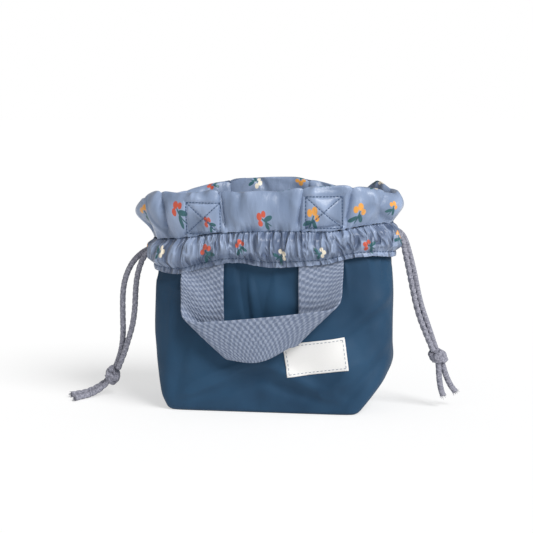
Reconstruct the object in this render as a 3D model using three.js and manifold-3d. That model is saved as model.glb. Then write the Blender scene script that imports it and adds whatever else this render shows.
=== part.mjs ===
// A drawstring snack bag: a boxed cloth body, a printed band with a cord casing and a padded frill,
// two webbing handles that swing from the band's hem, and two knotted drawcords.
// Millimetres, +Z up, the front faces -Y, and the origin is the middle of the base on the ground.
import * as THREE from "three";
import { mergeVertices } from "three/addons/utils/BufferGeometryUtils.js";
import Module from "manifold-3d";

const wasm = await Module();
wasm.setup();

// Driving dimensions of the body
const BASE_HALF_WIDTH = 83;
const BASE_HALF_DEPTH = 44;
const BODY_LEFT = 100.5;
const BODY_RIGHT = 110;
const BODY_HALF_DEPTH = 47;
const HEM_HEIGHT = 127;
const HEM_MARGIN = 4.4;
const CASING_RISE = 22.2;
const FRILL_RISE = 36.7;
const MOUTH_HALF_WIDTH = 113.4;
const MOUTH_HALF_DEPTH = 45.5;
const CASING_LEFT = 99;
const CASING_RIGHT = 106;
const CASING_HALF_DEPTH = 45.5;
const RIGHT_RISE = 9;

// Cloth, padding, thread and clearances
const SHELL_THICK = 1;
const PADDING_THICK = 2.5;
const LINING_THICK = 0.8;
const BAND_THICK = 0.8;
const GAP = 0.3;
const WALL_LIFT = 1.8;
const THREAD_THICK = 0.7;
const THREAD_WIDTH = 0.8;

// The front and back walls run between these edges, and the sides lie outside them
const WALL_EDGE_LOW = 73;
const WALL_EDGE_HIGH = 80;
const WALL_EDGE_RISE = 25;

// Webbing handles
const WEB_WIDTH = 38;
const WEB_THICK = 1.6;
const WEB_GAP = 0.5;
const HANDLE_SPACING = 102.4;
const HANDLE_OFFSET = 2;
const HANDLE_FOLD_DROP = 49.4;
const HANDLE_RUN_RISE = 12;
const HANDLE_BELLY = 1.2;
const HANDLE_LEFT_SLOPE = 48;
const HANDLE_RIGHT_SLOPE = 48;
const FOLD_FACETS = 8;
const RUN_FACETS = 6;
const HANDLE_FOLD_RADIUS = 3.5;
const TAB_RISE = 57.3;
const BOX_SIDE = 30.4;
const BOX_HEIGHT = 27;
const BOX_LIFT = 2.6;

// Drawcords
const CORD_DIAMETER = 5;
const CORD_SIDES = 10;
const RUN_SIDES = 8;
const CORD_STEP = 2.7;
const CORD_SPACING = 7.8;
const EXIT_HALF_WIDTH = 11.5;
const RUN_END_HALF = 9;
const KNOT_RADIUS = 5.3;
const KNOT_WRAP_RADIUS = 3;
const KNOT_PITCH = 2.5;
const KNOT_SOCKET_DEPTH = 3;
const KNOT_SLANT = 20;
const KNOT_FACETS = [8, 12];

// Label
const LABEL_WIDTH = 53.5;
const LABEL_HEIGHT = 28.5;
const LABEL_THICK = 0.5;
const LABEL_X = 48.5;
const LABEL_Z = 50.5;
const LABEL_TILT = 8;
const LABEL_STITCH_INSET = 2.2;

// Frill and casing bulges
const FRILL_OUT = 5.6;
const FRILL_IN = 5.2;
const CORD_ROOM = 1.4;
const BAND_SEAT = WEB_THICK + 2 * WEB_GAP;
const CASING_BULGE = CORD_DIAMETER + CORD_ROOM;

// Counts of flat facets along a wall, round an end and across a strip of webbing
const WALL_FACETS = 12;
const END_FACETS = 12;
const STRIP_FACETS = 4;
const LEVEL_THREAD_FACETS = 3;
const UPRIGHT_THREAD_FACETS = 4;
const FLAT_TIP_SHARE = 0.5;

const STITCH_HEIGHT = HEM_HEIGHT + HEM_MARGIN + CASING_RISE;
const PANEL_TOP = STITCH_HEIGHT + GAP;
const FRILL_FOOT = PANEL_TOP + GAP;
const TOP_HEIGHT = FRILL_FOOT + FRILL_RISE;
const INNER_FACE = SHELL_THICK + PADDING_THICK + LINING_THICK + 2 * GAP;
const FLOOR_STACK = INNER_FACE + WALL_LIFT;
const DEGREE = Math.PI / 180;

const materials = {
  shell: cloth(0x2f5379, 0.8),
  band: cloth(0x8ea2c3, 0.55),
  padding: cloth(0xe9e9e4, 0.9),
  webbing: cloth(0x8d97ab, 0.9),
  cord: cloth(0x83848f, 0.95),
  thread: cloth(0x35507a, 0.7),
  label: cloth(0xebebe8, 0.8),
};

function cloth(color, roughness) {
  return new THREE.MeshStandardMaterial({ color, roughness, metalness: 0 });
}

// Height shares of the hem, and at each one the shares of the way from the base's size to the body's
const BODY_HEIGHT_SHARES = [0, 0.045, 0.12, 0.22, 0.32, 0.5, 0.74, 1];
const LEFT_FLARE_SHARES = [0, 0.28, 0.45, 0.66, 0.82, 1, 0.98, 0.86];
const RIGHT_FLARE_SHARES = [0, 0.2, 0.5, 0.83, 1, 1, 1, 0.98];
const DEPTH_FLARE_SHARES = [0, 0.3, 0.6, 0.8, 0.95, 1, 0.9, 0.6];
const BODY_SQUARENESS = [7, 6.6, 6, 5, 4.6, 4, 3.5, 3.2];
const BODY_SOFTNESS = [0.14, 0.15, 0.17, 0.2, 0.22, 0.26, 0.33, 0.42];
const COLLAR_SQUARENESS = 3;
const CASING_SOFTNESS = 0.62;
const SEAM_SOFTNESS = 0.68;
const MOUTH_SOFTNESS = 0.7;

// The plan of the bag at a height: half widths, half depth, and the two exponents of its outline
const stations = BODY_HEIGHT_SHARES.map((share, i) => ({
  z: share * HEM_HEIGHT,
  left: mix(BASE_HALF_WIDTH, BODY_LEFT, LEFT_FLARE_SHARES[i]),
  right: mix(BASE_HALF_WIDTH, BODY_RIGHT, RIGHT_FLARE_SHARES[i]),
  depth: mix(BASE_HALF_DEPTH, BODY_HALF_DEPTH, DEPTH_FLARE_SHARES[i]),
  p: BODY_SQUARENESS[i],
  q: BODY_SOFTNESS[i],
}));
const casingMiddle = HEM_HEIGHT + HEM_MARGIN + CASING_RISE / 2;
const casingPlan = {
  left: CASING_LEFT,
  right: CASING_RIGHT,
  depth: CASING_HALF_DEPTH,
  p: COLLAR_SQUARENESS,
};
const mouthPlan = {
  left: MOUTH_HALF_WIDTH,
  right: MOUTH_HALF_WIDTH,
  depth: MOUTH_HALF_DEPTH,
  p: COLLAR_SQUARENESS,
  q: MOUTH_SOFTNESS,
};
stations.push(
  { z: casingMiddle, ...casingPlan, q: CASING_SOFTNESS },
  { z: PANEL_TOP, ...casingPlan, q: SEAM_SOFTNESS },
  { z: FRILL_FOOT + FRILL_RISE / 2, ...mouthPlan },
  { z: TOP_HEIGHT, ...mouthPlan },
);

function mix(a, b, share) {
  return a + (b - a) * share;
}

function smooth(share) {
  const s = Math.min(1, Math.max(0, share));
  return s * s * (3 - 2 * s);
}

function sectionAt(z) {
  const found = stations.findIndex((s) => s.z >= z);
  const upper = found < 0 ? stations.length - 1 : Math.max(1, found);
  const [a, b] = [stations[upper - 1], stations[upper]];
  const share = (z - a.z) / (b.z - a.z);
  const at = (key) => mix(a[key], b[key], share);
  return { left: at("left"), right: at("right"), depth: at("depth"), p: at("p"), q: at("q") };
}

// The band climbs towards the right-hand end, where the cord pulls it up
function place(x, y, z) {
  const reach = smooth((x - HANDLE_SPACING / 2) / (CASING_RIGHT - HANDLE_SPACING / 2));
  const band = smooth((z - HEM_HEIGHT / 2) / (HEM_HEIGHT / 2)) * (1 - smooth((z - PANEL_TOP) / FRILL_RISE));
  return new THREE.Vector3(x, y, z + RIGHT_RISE * reach * band);
}

function wallEdge(z) {
  return mix(WALL_EDGE_LOW, WALL_EDGE_HIGH, smooth(z / WALL_EDGE_RISE));
}

// Half the bag's depth at a place, taken inwards by offset
function depthAt(x, z, offset) {
  const s = sectionAt(z);
  const half = (x < 0 ? s.left : s.right) - offset;
  return (s.depth - offset) * (1 - Math.min(1, Math.abs(x) / half) ** s.p) ** s.q;
}

// Columns turn an (offset, height) pair of a profile into a point
const wallShares = steps(WALL_FACETS).map((share) => Math.sin(mix(-1, 1, share) * (Math.PI / 2)));
const wallColumns = (face) =>
  wallShares.map((share) => (offset, z) => {
    const x = share * (wallEdge(z) - GAP / 2);
    return place(x, face * depthAt(x, z, offset), z);
  });

const stripColumns = (face, count, fromX, toX) =>
  steps(count).map((share) => (offset, z) => {
    const x = mix(fromX, toX, share);
    return place(x, face * depthAt(x, z, offset), z);
  });

// Round one end of the bag: turn is -1 at the front wall's edge, 0 at the tip and 1 at the back wall's edge
function endPoint(side, turn, offset, z) {
  const s = sectionAt(z);
  const half = (side < 0 ? s.left : s.right) - offset;
  const start = Math.acos(Math.min(1, (wallEdge(z) + GAP / 2) / half) ** (s.p / 2));
  const angle = start * Math.abs(turn) ** (1 / (2 * s.q));
  const x = side * half * Math.cos(angle) ** (2 / s.p);
  const y = Math.sign(turn) * (s.depth - offset) * Math.sin(angle) ** (2 * s.q);
  return place(x, y, z);
}

const endColumns = (side, count, from = -1, to = 1) =>
  steps(count).map((share) => (offset, z) => endPoint(side, mix(from, to, share), offset, z));

function steps(count) {
  return Array.from({ length: count + 1 }, (_, i) => i / count);
}

// A closed solid from rings of points, all alike in number, with an end cap on the first and last
function loftRings(rings) {
  const size = rings[0].length;
  const positions = rings.flat().flatMap((v) => [v.x, v.y, v.z]);
  const index = [];
  for (let r = 0; r + 1 < rings.length; r++) {
    for (let i = 0; i < size; i++) {
      const j = (i + 1) % size;
      const [a, b, c, d] = [r * size + i, r * size + j, (r + 1) * size + j, (r + 1) * size + i];
      // Both faces of a strip are cut along the same diagonal, so that layers stay apart where they twist
      if (i < size / 2) index.push(a, b, c, a, c, d);
      else index.push(a, b, d, b, c, d);
    }
  }
  const last = (rings.length - 1) * size;
  for (const [a, b, c] of capTriangles(size)) index.push(c, b, a, last + a, last + b, last + c);
  return facingOut(positions, index);
}

// Triangles that fill a ring which runs up one face of a strip and down the other
function capTriangles(size) {
  const triangles = [];
  for (let i = 0; i < Math.floor((size - 1) / 2); i++) {
    const [a, b, c, d] = [i, i + 1, size - 2 - i, size - 1 - i];
    triangles.push([a, b, d]);
    if (b !== c) triangles.push([b, c, d]);
  }
  return triangles;
}

// A geometry whose faces look outwards
function facingOut(positions, index) {
  const geometry = new THREE.BufferGeometry();
  geometry.setAttribute("position", new THREE.Float32BufferAttribute(positions, 3));
  const at = (i) => new THREE.Vector3(positions[3 * i], positions[3 * i + 1], positions[3 * i + 2]);
  let volume = 0;
  for (let i = 0; i < index.length; i += 3) {
    volume += at(index[i]).dot(at(index[i + 1]).cross(at(index[i + 2])));
  }
  if (volume < 0) index.reverse();
  geometry.setIndex(index);
  return geometry;
}

// A profile of (offset, height) pairs swept along columns
function loft(profile, columns) {
  return loftRings(columns.map((column) => profile.map(([offset, z]) => column(offset, z))));
}

// Every layer bends at the same heights, so that neighbours stay apart between them
const rowHeights = [...stations.map((s) => s.z), FLOOR_STACK].sort((a, b) => a - b);

// Profile of a layer of cloth: up its outer face and down its inner one
function layerProfile(outer, inner, fromZ, toZ) {
  const between = rowHeights.filter((z) => z > fromZ + GAP && z < toZ - GAP);
  const rows = [fromZ, ...between, toZ];
  return [...rows.map((z) => [outer, z]), ...rows.reverse().map((z) => [inner, z])];
}

const shellProfile = layerProfile(0, SHELL_THICK, 0, PANEL_TOP);
const paddingStart = SHELL_THICK + GAP;
const paddingProfile = layerProfile(paddingStart, paddingStart + PADDING_THICK, FLOOR_STACK, PANEL_TOP);
const liningStart = paddingStart + PADDING_THICK + GAP;
const liningProfile = layerProfile(liningStart, liningStart + LINING_THICK, FLOOR_STACK, PANEL_TOP);

// The casing: a flat margin at the hem, then a channel that bulges round the two cords
const CASING_SHARES = [0, 0.07, 0.2, 0.35, 0.65, 0.8, 0.93, 1];
const CASING_BULGE_SHARES = [0, 0.5, 0.87, 1, 1, 0.87, 0.5, 0];
const casingFace = CASING_SHARES.map((share, i) => [
  -BAND_SEAT - CASING_BULGE * CASING_BULGE_SHARES[i],
  HEM_HEIGHT + HEM_MARGIN + CASING_RISE * share,
]);
const casingProfile = [
  [-BAND_SEAT, HEM_HEIGHT],
  ...casingFace,
  ...casingFace.map(([offset, z]) => [offset - BAND_THICK, z]).reverse(),
  [-BAND_SEAT - BAND_THICK, HEM_HEIGHT],
];

// The frill: a padded roll that stands on the casing's top seam
const FRILL_SHARES = [0, 0.16, 0.38, 0.62, 0.82, 0.95, 1];
const FRILL_OUT_SHARES = [0, 0.55, 0.9, 1, 0.82, 0.42, 0];
const FRILL_IN_SHARES = [0, 0.3, 0.8, 1, 0.9, 0.6, 0];
const frillFoot = BAND_SEAT + BAND_THICK;
const frillZ = (share) => mix(FRILL_FOOT, TOP_HEIGHT, share);
const frillRows = FRILL_SHARES.slice(0, -1);
const foldShare = FRILL_SHARES[FRILL_OUT_SHARES.indexOf(1)];
const frillOutline = frillRows.map((share, i) => [
  -mix(share > foldShare ? 0 : frillFoot, FRILL_OUT, FRILL_OUT_SHARES[i]),
  frillZ(share),
]);
const frillInline = frillRows.map((share, i) => [
  mix(share > foldShare ? 0 : LINING_THICK + SHELL_THICK, FRILL_IN, FRILL_IN_SHARES[i]),
  frillZ(share),
]);
const frillProfile = [...frillOutline, [0, TOP_HEIGHT], ...frillInline.reverse()];

// How far the frill's outer face stands out at a height
function frillFace(z) {
  const upper = Math.max(1, frillOutline.findIndex((row) => row[1] >= z));
  const [a, b] = [frillOutline[upper - 1], frillOutline[upper]];
  return mix(a[0], b[0], (z - a[1]) / (b[1] - a[1]));
}

// Manifold solids from geometries, and back
function solid(geometry) {
  const bare = geometry.clone();
  bare.deleteAttribute("normal");
  bare.deleteAttribute("uv");
  const merged = mergeVertices(bare);
  return new wasm.Manifold(
    new wasm.Mesh({
      numProp: 3,
      vertProperties: merged.attributes.position.array,
      triVerts: new Uint32Array(merged.index.array),
    }),
  );
}

function geometryOf(manifold) {
  const mesh = manifold.getMesh();
  const geometry = new THREE.BufferGeometry();
  geometry.setAttribute("position", new THREE.BufferAttribute(mesh.vertProperties, 3));
  geometry.setIndex(new THREE.BufferAttribute(mesh.triVerts, 1));
  return geometry;
}

const union = (geometries) => geometryOf(geometries.map(solid).reduce((all, one) => all.add(one)));
const cut = (geometry, tools) =>
  geometryOf(tools.map(solid).reduce((left, tool) => left.subtract(tool), solid(geometry)));

// Group and mesh helpers
const bag = new THREE.Group();
bag.name = "snack_bag";

function add(name, geometry, material) {
  const mesh = new THREE.Mesh(geometry, material);
  mesh.name = name;
  bag.add(mesh);
  return mesh;
}

// The front edge of the bag's outline on the ground, from tip to tip, with the walls' own facets
function groundEdge(offset) {
  const turns = steps(END_FACETS / 4).map((share) => mix(FLAT_TIP_SHARE, 1, share));
  const tip = (side) => turns.map((turn) => endPoint(side, -turn, offset, 0));
  return [...tip(-1), ...wallColumns(-1).map((column) => column(offset, 0)), ...tip(1).reverse()];
}

function basePlate(name, low, thickness, material) {
  const rings = groundEdge(SHELL_THICK + GAP).map(({ x, y }) => [
    new THREE.Vector3(x, y, low),
    new THREE.Vector3(x, y, low + thickness),
    new THREE.Vector3(x, -y, low + thickness),
    new THREE.Vector3(x, -y, low),
  ]);
  add(name, loftRings(rings), material);
}

function buildBase() {
  basePlate("shell_base", 0, SHELL_THICK, materials.shell);
  basePlate("padding_base", paddingStart, PADDING_THICK, materials.padding);
  basePlate("lining_base", liningStart, LINING_THICK, materials.band);
}

// Walls: each layer has a front and a back panel, and a side that wraps each end
function buildWalls() {
  const layers = [
    ["shell", shellProfile, materials.shell],
    ["padding", paddingProfile, materials.padding],
    ["lining", liningProfile, materials.band],
  ];
  for (const [layer, profile, material] of layers) {
    add(`${layer}_front`, loft(profile, wallColumns(-1)), material);
    add(`${layer}_back`, loft(profile, wallColumns(1)), material);
    add(`${layer}_left_side`, loft(profile, endColumns(-1, END_FACETS)), material);
    add(`${layer}_right_side`, loft(profile, endColumns(1, END_FACETS)), material);
  }
}

// How far round an end, from its tip, a half width of the cords' way out lies
function turnAt(halfWidth) {
  const s = sectionAt(casingMiddle);
  const start = Math.acos(Math.min(1, (wallEdge(casingMiddle) + GAP / 2) / s.left) ** (s.p / 2));
  const angle = Math.asin((halfWidth / s.depth) ** (1 / (2 * s.q)));
  return (angle / start) ** (2 * s.q);
}

// The middle of a handle's end: each handle sits a little to the right as its own face is looked at
function handleMiddle(face, side) {
  return (side * HANDLE_SPACING) / 2 - face * HANDLE_OFFSET;
}

function buildBand() {
  const exit = turnAt(EXIT_HALF_WIDTH);
  const pocketProfile = layerProfile(-BAND_SEAT, 0, PANEL_TOP, HEM_HEIGHT + TAB_RISE + WEB_GAP);
  for (const [name, face] of [["front", -1], ["back", 1]]) {
    add(`casing_${name}`, loft(casingProfile, wallColumns(face)), materials.band);
    const pockets = [-1, 1].map((side) => {
      const middle = handleMiddle(face, side);
      const half = WEB_WIDTH / 2 + GAP;
      return loft(pocketProfile, stripColumns(face, STRIP_FACETS, middle - half, middle + half));
    });
    add(`frill_${name}`, cut(loft(frillProfile, wallColumns(face)), pockets), materials.band);
    for (const [end, side] of [["left", -1], ["right", 1]]) {
      const columns = endColumns(side, END_FACETS / 2, face, face * exit);
      add(`casing_${end}_${name}_end`, loft(casingProfile, columns), materials.band);
    }
  }
  add("frill_left_end", loft(frillProfile, endColumns(-1, END_FACETS)), materials.band);
  add("frill_right_end", loft(frillProfile, endColumns(1, END_FACETS)), materials.band);
}

// A bar of thread laid over a face along (x, z) points, standing off it by the clearance
function threadBar(face, points, faceOffset, thread = THREAD_WIDTH / 2, lift = 0) {
  const along = points.map(([x, z], i) => {
    const [ax, az] = points[Math.max(0, i - 1)];
    const [bx, bz] = points[Math.min(points.length - 1, i + 1)];
    const length = Math.hypot(bx - ax, bz - az);
    const [nx, nz] = [(-(bz - az) / length) * thread, ((bx - ax) / length) * thread];
    const corners = [
      [x - nx, z - nz, GAP],
      [x + nx, z + nz, GAP],
      [x + nx, z + nz, GAP + THREAD_THICK],
      [x - nx, z - nz, GAP + THREAD_THICK],
    ];
    return corners.map(([cx, cz, out]) => place(cx, face * depthAt(cx, cz, faceOffset(cz) - out - lift), cz));
  });
  return loftRings(along);
}

function line(x0, z0, x1, z1, count) {
  return steps(count).map((share) => [mix(x0, x1, share), mix(z0, z1, share)]);
}

// How far each thread of a box lies over the ones that it crosses, as a share of its thickness
const CROSSING_LIFT_SHARES = [0, 0, 0.12, 0.12, 0.24, 0.36];

// A square with a cross in it, sewn through the frill and the webbing end
function boxStitch(face, middle) {
  const low = FRILL_FOOT + BOX_LIFT;
  const high = low + BOX_HEIGHT;
  const [left, right] = [middle - BOX_SIDE / 2, middle + BOX_SIDE / 2];
  const reach = THREAD_WIDTH / 2;
  const bars = [
    line(left - reach, low, right + reach, low, LEVEL_THREAD_FACETS),
    line(left - reach, high, right + reach, high, LEVEL_THREAD_FACETS),
    line(left, low, left, high, UPRIGHT_THREAD_FACETS),
    line(right, low, right, high, UPRIGHT_THREAD_FACETS),
    line(left, low, right, high, UPRIGHT_THREAD_FACETS),
    line(left, high, right, low, UPRIGHT_THREAD_FACETS),
  ];
  const lifts = CROSSING_LIFT_SHARES.map((share) => share * THREAD_THICK);
  return union(bars.map((points, i) => threadBar(face, points, frillFace, reach, lifts[i])));
}

function buildStitches() {
  const edge = WALL_EDGE_HIGH - GAP / 2;
  const along = (z) => wallShares.map((share) => [share * edge, z]);
  for (const [name, face] of [["front", -1], ["back", 1]]) {
    const seat = () => -BAND_SEAT - BAND_THICK;
    const seam = along(FRILL_FOOT - GAP);
    const hem = along(HEM_HEIGHT + HEM_MARGIN - THREAD_WIDTH);
    add(`casing_seam_stitch_${name}`, threadBar(face, seam, seat), materials.thread);
    add(`hem_stitch_${name}`, threadBar(face, hem, seat), materials.thread);
    add(`${name}_left_box_stitch`, boxStitch(face, handleMiddle(face, -1)), materials.thread);
    add(`${name}_right_box_stitch`, boxStitch(face, handleMiddle(face, 1)), materials.thread);
  }
}

// A handle's free loop hangs from the hem: two legs, and a run that is folded in front of them
const HINGE_Z = HEM_HEIGHT - 2 * GAP;
const legPlane = BODY_HALF_DEPTH + 3 * GAP + LABEL_THICK + THREAD_THICK + WEB_THICK / 2;

// Each cross line of the webbing is its two edge points and the way its outer face looks
function foldLines(side) {
  const middle = handleMiddle(-1, side);
  const edges = [middle + (side * WEB_WIDTH) / 2, middle - (side * WEB_WIDTH) / 2];
  const slope = (side < 0 ? HANDLE_LEFT_SLOPE : HANDLE_RIGHT_SLOPE) * DEGREE;
  const [cosine, sine] = [Math.cos(slope), Math.sin(slope)];
  const foldZ = HINGE_Z - HANDLE_FOLD_DROP + (side < 0 ? 0 : HANDLE_RUN_RISE);
  const foldHeight = (x) => foldZ + (x - middle) * side * Math.tan(slope);
  const lines = [0, 1 / 3, 2 / 3].map((share) => ({
    ends: edges.map((x) => [x, -legPlane, mix(HINGE_Z, foldHeight(x), share)]),
    normal: [0, -1, 0],
  }));
  for (const share of steps(FOLD_FACETS)) {
    const angle = share * Math.PI;
    const ends = edges.map((x) => {
      // Along the fold line, down and inwards, and across it, down and outwards
      const along = ((x - middle) * -side) / cosine + HANDLE_FOLD_RADIUS * angle * Math.tan(slope);
      const across = HANDLE_FOLD_RADIUS * Math.sin(angle);
      return [
        middle - side * (along * cosine - across * sine),
        -legPlane - HANDLE_FOLD_RADIUS * (1 - Math.cos(angle)),
        foldZ - along * sine - across * cosine,
      ];
    });
    const turn = Math.sin(angle);
    lines.push({ ends, normal: [-side * turn * sine, -Math.cos(angle), turn * cosine] });
  }
  return lines;
}

function handleLoop() {
  const left = foldLines(-1);
  const right = foldLines(1).reverse();
  const between = steps(RUN_FACETS).slice(1, -1).map((share) => ({
    ends: left.at(-1).ends.map((end, i) => {
      const [x, y, z] = end.map((v, j) => mix(v, right[0].ends[i][j], share));
      return [x, y - HANDLE_BELLY * Math.sin(share * Math.PI), z];
    }),
    normal: [0, 1, 0],
  }));
  // The webbing's outer edge on each leg is the run's upper edge
  const rings = [...left, ...between, ...right].map(({ ends, normal }) => {
    const shift = (point, amount) => new THREE.Vector3(...point.map((v, i) => v + normal[i] * amount));
    const half = WEB_THICK / 2;
    return [shift(ends[0], -half), shift(ends[1], -half), shift(ends[1], half), shift(ends[0], half)];
  });
  return loftRings(rings);
}

function buildHandles() {
  const top = HEM_HEIGHT + TAB_RISE;
  const tabProfile = layerProfile(-WEB_GAP - WEB_THICK, -WEB_GAP, HEM_HEIGHT, top);
  for (const [name, face] of [["front", -1], ["back", 1]]) {
    for (const [end, side] of [["left", -1], ["right", 1]]) {
      const middle = handleMiddle(face, side);
      const columns = stripColumns(face, STRIP_FACETS, middle - WEB_WIDTH / 2, middle + WEB_WIDTH / 2);
      add(`${name}_handle_${end}_tab`, loft(tabProfile, columns), materials.webbing);
    }
    const loop = add(`${name}_handle_loop`, handleLoop(), materials.webbing);
    loop.rotation.z = face > 0 ? Math.PI : 0;
  }
}

// The label and its thread, tilted on the front panel
function labelPoint(u, v) {
  const [c, s] = [Math.cos(LABEL_TILT * DEGREE), Math.sin(LABEL_TILT * DEGREE)];
  return [LABEL_X + u * c - v * s, LABEL_Z + u * s + v * c];
}

function buildLabel() {
  const profile = steps(4).map((share) => [-GAP, LABEL_HEIGHT * (share - 1 / 2)]);
  const outer = profile.map(([offset, v]) => [offset - LABEL_THICK, v]).reverse();
  const columns = steps(4).map((share) => (offset, v) => {
    const [x, z] = labelPoint(LABEL_WIDTH * (share - 1 / 2), v);
    return place(x, -depthAt(x, z, offset), z);
  });
  add("label", loft([...profile, ...outer], columns), materials.label);
  const [u, v] = [LABEL_WIDTH / 2 - LABEL_STITCH_INSET, LABEL_HEIGHT / 2 - LABEL_STITCH_INSET];
  const reach = THREAD_WIDTH / 4;
  const sides = [
    line(-u - reach, -v, u + reach, -v, 4),
    line(-u - reach, v, u + reach, v, 4),
    line(-u, -v, -u, v, 3),
    line(u, -v, u, v, 3),
  ].map((points) => points.map(([a, b]) => labelPoint(a, b)));
  const face = () => -GAP - LABEL_THICK;
  const bars = sides.map((points) => threadBar(-1, points, face, THREAD_WIDTH / 4));
  add("label_stitch", union(bars), materials.thread);
}

// Cords. Each drawcord runs round the whole casing and comes out, doubled, at its own end
function tube(points, sides, diameter = CORD_DIAMETER) {
  const curve = new THREE.CatmullRomCurve3(points);
  const outline = steps(sides)
    .slice(1)
    .map((share) => {
      const angle = share * 2 * Math.PI;
      return new THREE.Vector2((Math.cos(angle) * diameter) / 2, (Math.sin(angle) * diameter) / 2);
    });
  const count = Math.max(3, Math.ceil(curve.getLength() / (CORD_STEP * diameter)));
  return new THREE.ExtrudeGeometry(new THREE.Shape(outline), { steps: count, extrudePath: curve });
}

const cordOffset = -BAND_SEAT - CORD_DIAMETER / 2 - GAP / 2;
const cordLevel = { left: casingMiddle - CORD_SPACING / 2, right: casingMiddle + CORD_SPACING / 2 };

// The part of a cord inside the casing, from its own end to the middle of the turn at the other
function casingRun(own, level, face) {
  const points = [];
  const start = turnAt(RUN_END_HALF);
  for (const share of steps(5)) points.push(endPoint(own, face * mix(start, 1, share), cordOffset, level));
  for (const share of steps(8).slice(1, -1)) {
    const x = -own * mix(-1, 1, share) * wallEdge(level);
    points.push(place(x, face * depthAt(x, level, cordOffset), level));
  }
  const last = turnAt(2 * GAP);
  for (const share of steps(6)) points.push(endPoint(-own, face * mix(1, last, share), cordOffset, level));
  return tube(points, RUN_SIDES);
}

// The free cords' routes, chosen by hand from the picture: out of the casing, down, and on to the ground
const ROUTES = {
  left_cord_front_strand: [
    [-99.3, -9.2, 138.4], [-101.7, -6.9, 138], [-104.8, -5.1, 136.9], [-108, -4.3, 134.4],
    [-111.4, -4.1, 130.4], [-114.4, -4, 125], [-116.9, -4, 118.2], [-118.8, -4, 110.4], [-120, -4, 102],
    [-120.7, -4, 93.4], [-121.3, -4, 84.6], [-122.4, -3.8, 76], [-124, -3.4, 67.8], [-126.3, -2.9, 60],
    [-129.4, -2.2, 51], [-132.4, -1.4, 42.4], [-136, -0.4, 34], [-139.6, 0.8, 26],
  ],
  left_cord_back_strand: [
    [-99.1, 9.2, 138.6], [-101.2, 6.9, 138.4], [-104.6, 5.3, 137.6], [-109, 4.8, 136],
    [-114.2, 4.7, 133.2], [-119.6, 4.6, 129], [-124.8, 4.5, 123.2], [-129, 4.4, 115.8],
    [-132.2, 4.3, 107.2], [-134, 4.2, 98], [-134.7, 4.1, 88.6], [-134.9, 4.1, 79.2], [-135, 4.2, 70.2],
    [-135.1, 4.5, 61.4], [-135.9, 4.9, 51.6], [-137.6, 5.5, 42.6], [-140.4, 6.1, 34], [-143.7, 6.7, 26.2],
  ],
  left_cord_front_tail: [
    [-148.8, 3, 14.6], [-153.8, 1.4, 9.4], [-158, -1.4, 6], [-162.4, -5.6, 3.8], [-166.6, -10.8, 2.9],
    [-170.4, -16.6, 2.8], [-173.8, -22.8, 2.8],
  ],
  left_cord_back_tail: [
    [-149.6, 8.6, 15.8], [-155.2, 8.8, 11.2], [-160.6, 7.8, 7.6], [-166.2, 5.4, 4.8], [-171.6, 1.8, 3.1],
    [-176.6, -2.8, 2.8], [-181, -8.2, 2.8],
  ],
  right_cord_front_strand: [
    [106.1, -9.2, 155.3], [108.5, -7.4, 155.8], [112.3, -6.4, 155.4], [115.9, -5.9, 153],
    [118.5, -5.6, 148.4], [120.3, -5.3, 141.4], [122.1, -5, 132.8], [124.1, -4.7, 123.4],
    [126.1, -4.4, 113.4], [128.1, -4.1, 103.2], [130.1, -3.9, 93.8], [132.3, -3.7, 85.2],
    [134.9, -3.5, 77.2], [137.7, -3.3, 69.8], [140.5, -3.2, 63], [143.1, -3.1, 56.8], [145.9, -2.8, 50.2],
  ],
  right_cord_back_strand: [
    [106.1, 9.2, 155.3], [108.3, 7.2, 155.5], [111.7, 5.9, 155.2], [115.5, 5.3, 153.4],
    [118.9, 5, 149.6], [121.5, 4.6, 143.8], [123.7, 4.2, 136.6], [125.9, 3.8, 128.4], [128.1, 3.5, 119.4],
    [130.1, 3.2, 109.8], [132.1, 3, 100], [134.3, 2.8, 91.2], [136.9, 2.7, 82.8], [139.7, 2.6, 74.8],
    [142.3, 2.6, 67.2], [144.7, 2.6, 60], [147.7, 2.7, 51.2],
  ],
  right_cord_front_tail: [
    [150.3, -2.8, 40.8], [150.7, -2.9, 34.4], [151.1, -2.8, 28.2], [151.7, -2.4, 22.2],
    [152.7, -1.6, 16.4], [154.3, -0.4, 10.8],
  ],
  right_cord_back_tail: [
    [152.7, 2.7, 41], [154.5, 3, 34.6], [156.3, 3.4, 28.8], [158.5, 4, 23.2], [161.3, 4.8, 17.8],
    [164.7, 5.8, 13],
  ],
};
const KNOT_CENTRES = { left: [-145.6, 5, 19.4], right: [149.5, 0, 46] };
const KNOT_AXES = { left: [-0.72, 0.2, -0.66], right: [0.34, 0, -0.94] };

const vector = (point) => new THREE.Vector3(...point);

// A short plug along one end of a cord, for the hole it lies in
function socket(points, atEnd) {
  const tip = vector(atEnd ? points.at(-1) : points[0]);
  const next = vector(atEnd ? points.at(-2) : points[1]);
  const inward = tip.clone().sub(next).normalize();
  const length = KNOT_SOCKET_DEPTH + CORD_DIAMETER;
  const radius = CORD_DIAMETER / 2 + GAP;
  const plug = new THREE.CylinderGeometry(radius, radius, length, CORD_SIDES);
  const centre = tip.clone().addScaledVector(inward, GAP - length / 2);
  const turn = new THREE.Quaternion().setFromUnitVectors(new THREE.Vector3(0, 1, 0), inward);
  return plug.applyQuaternion(turn).translate(...centre.toArray());
}

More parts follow.
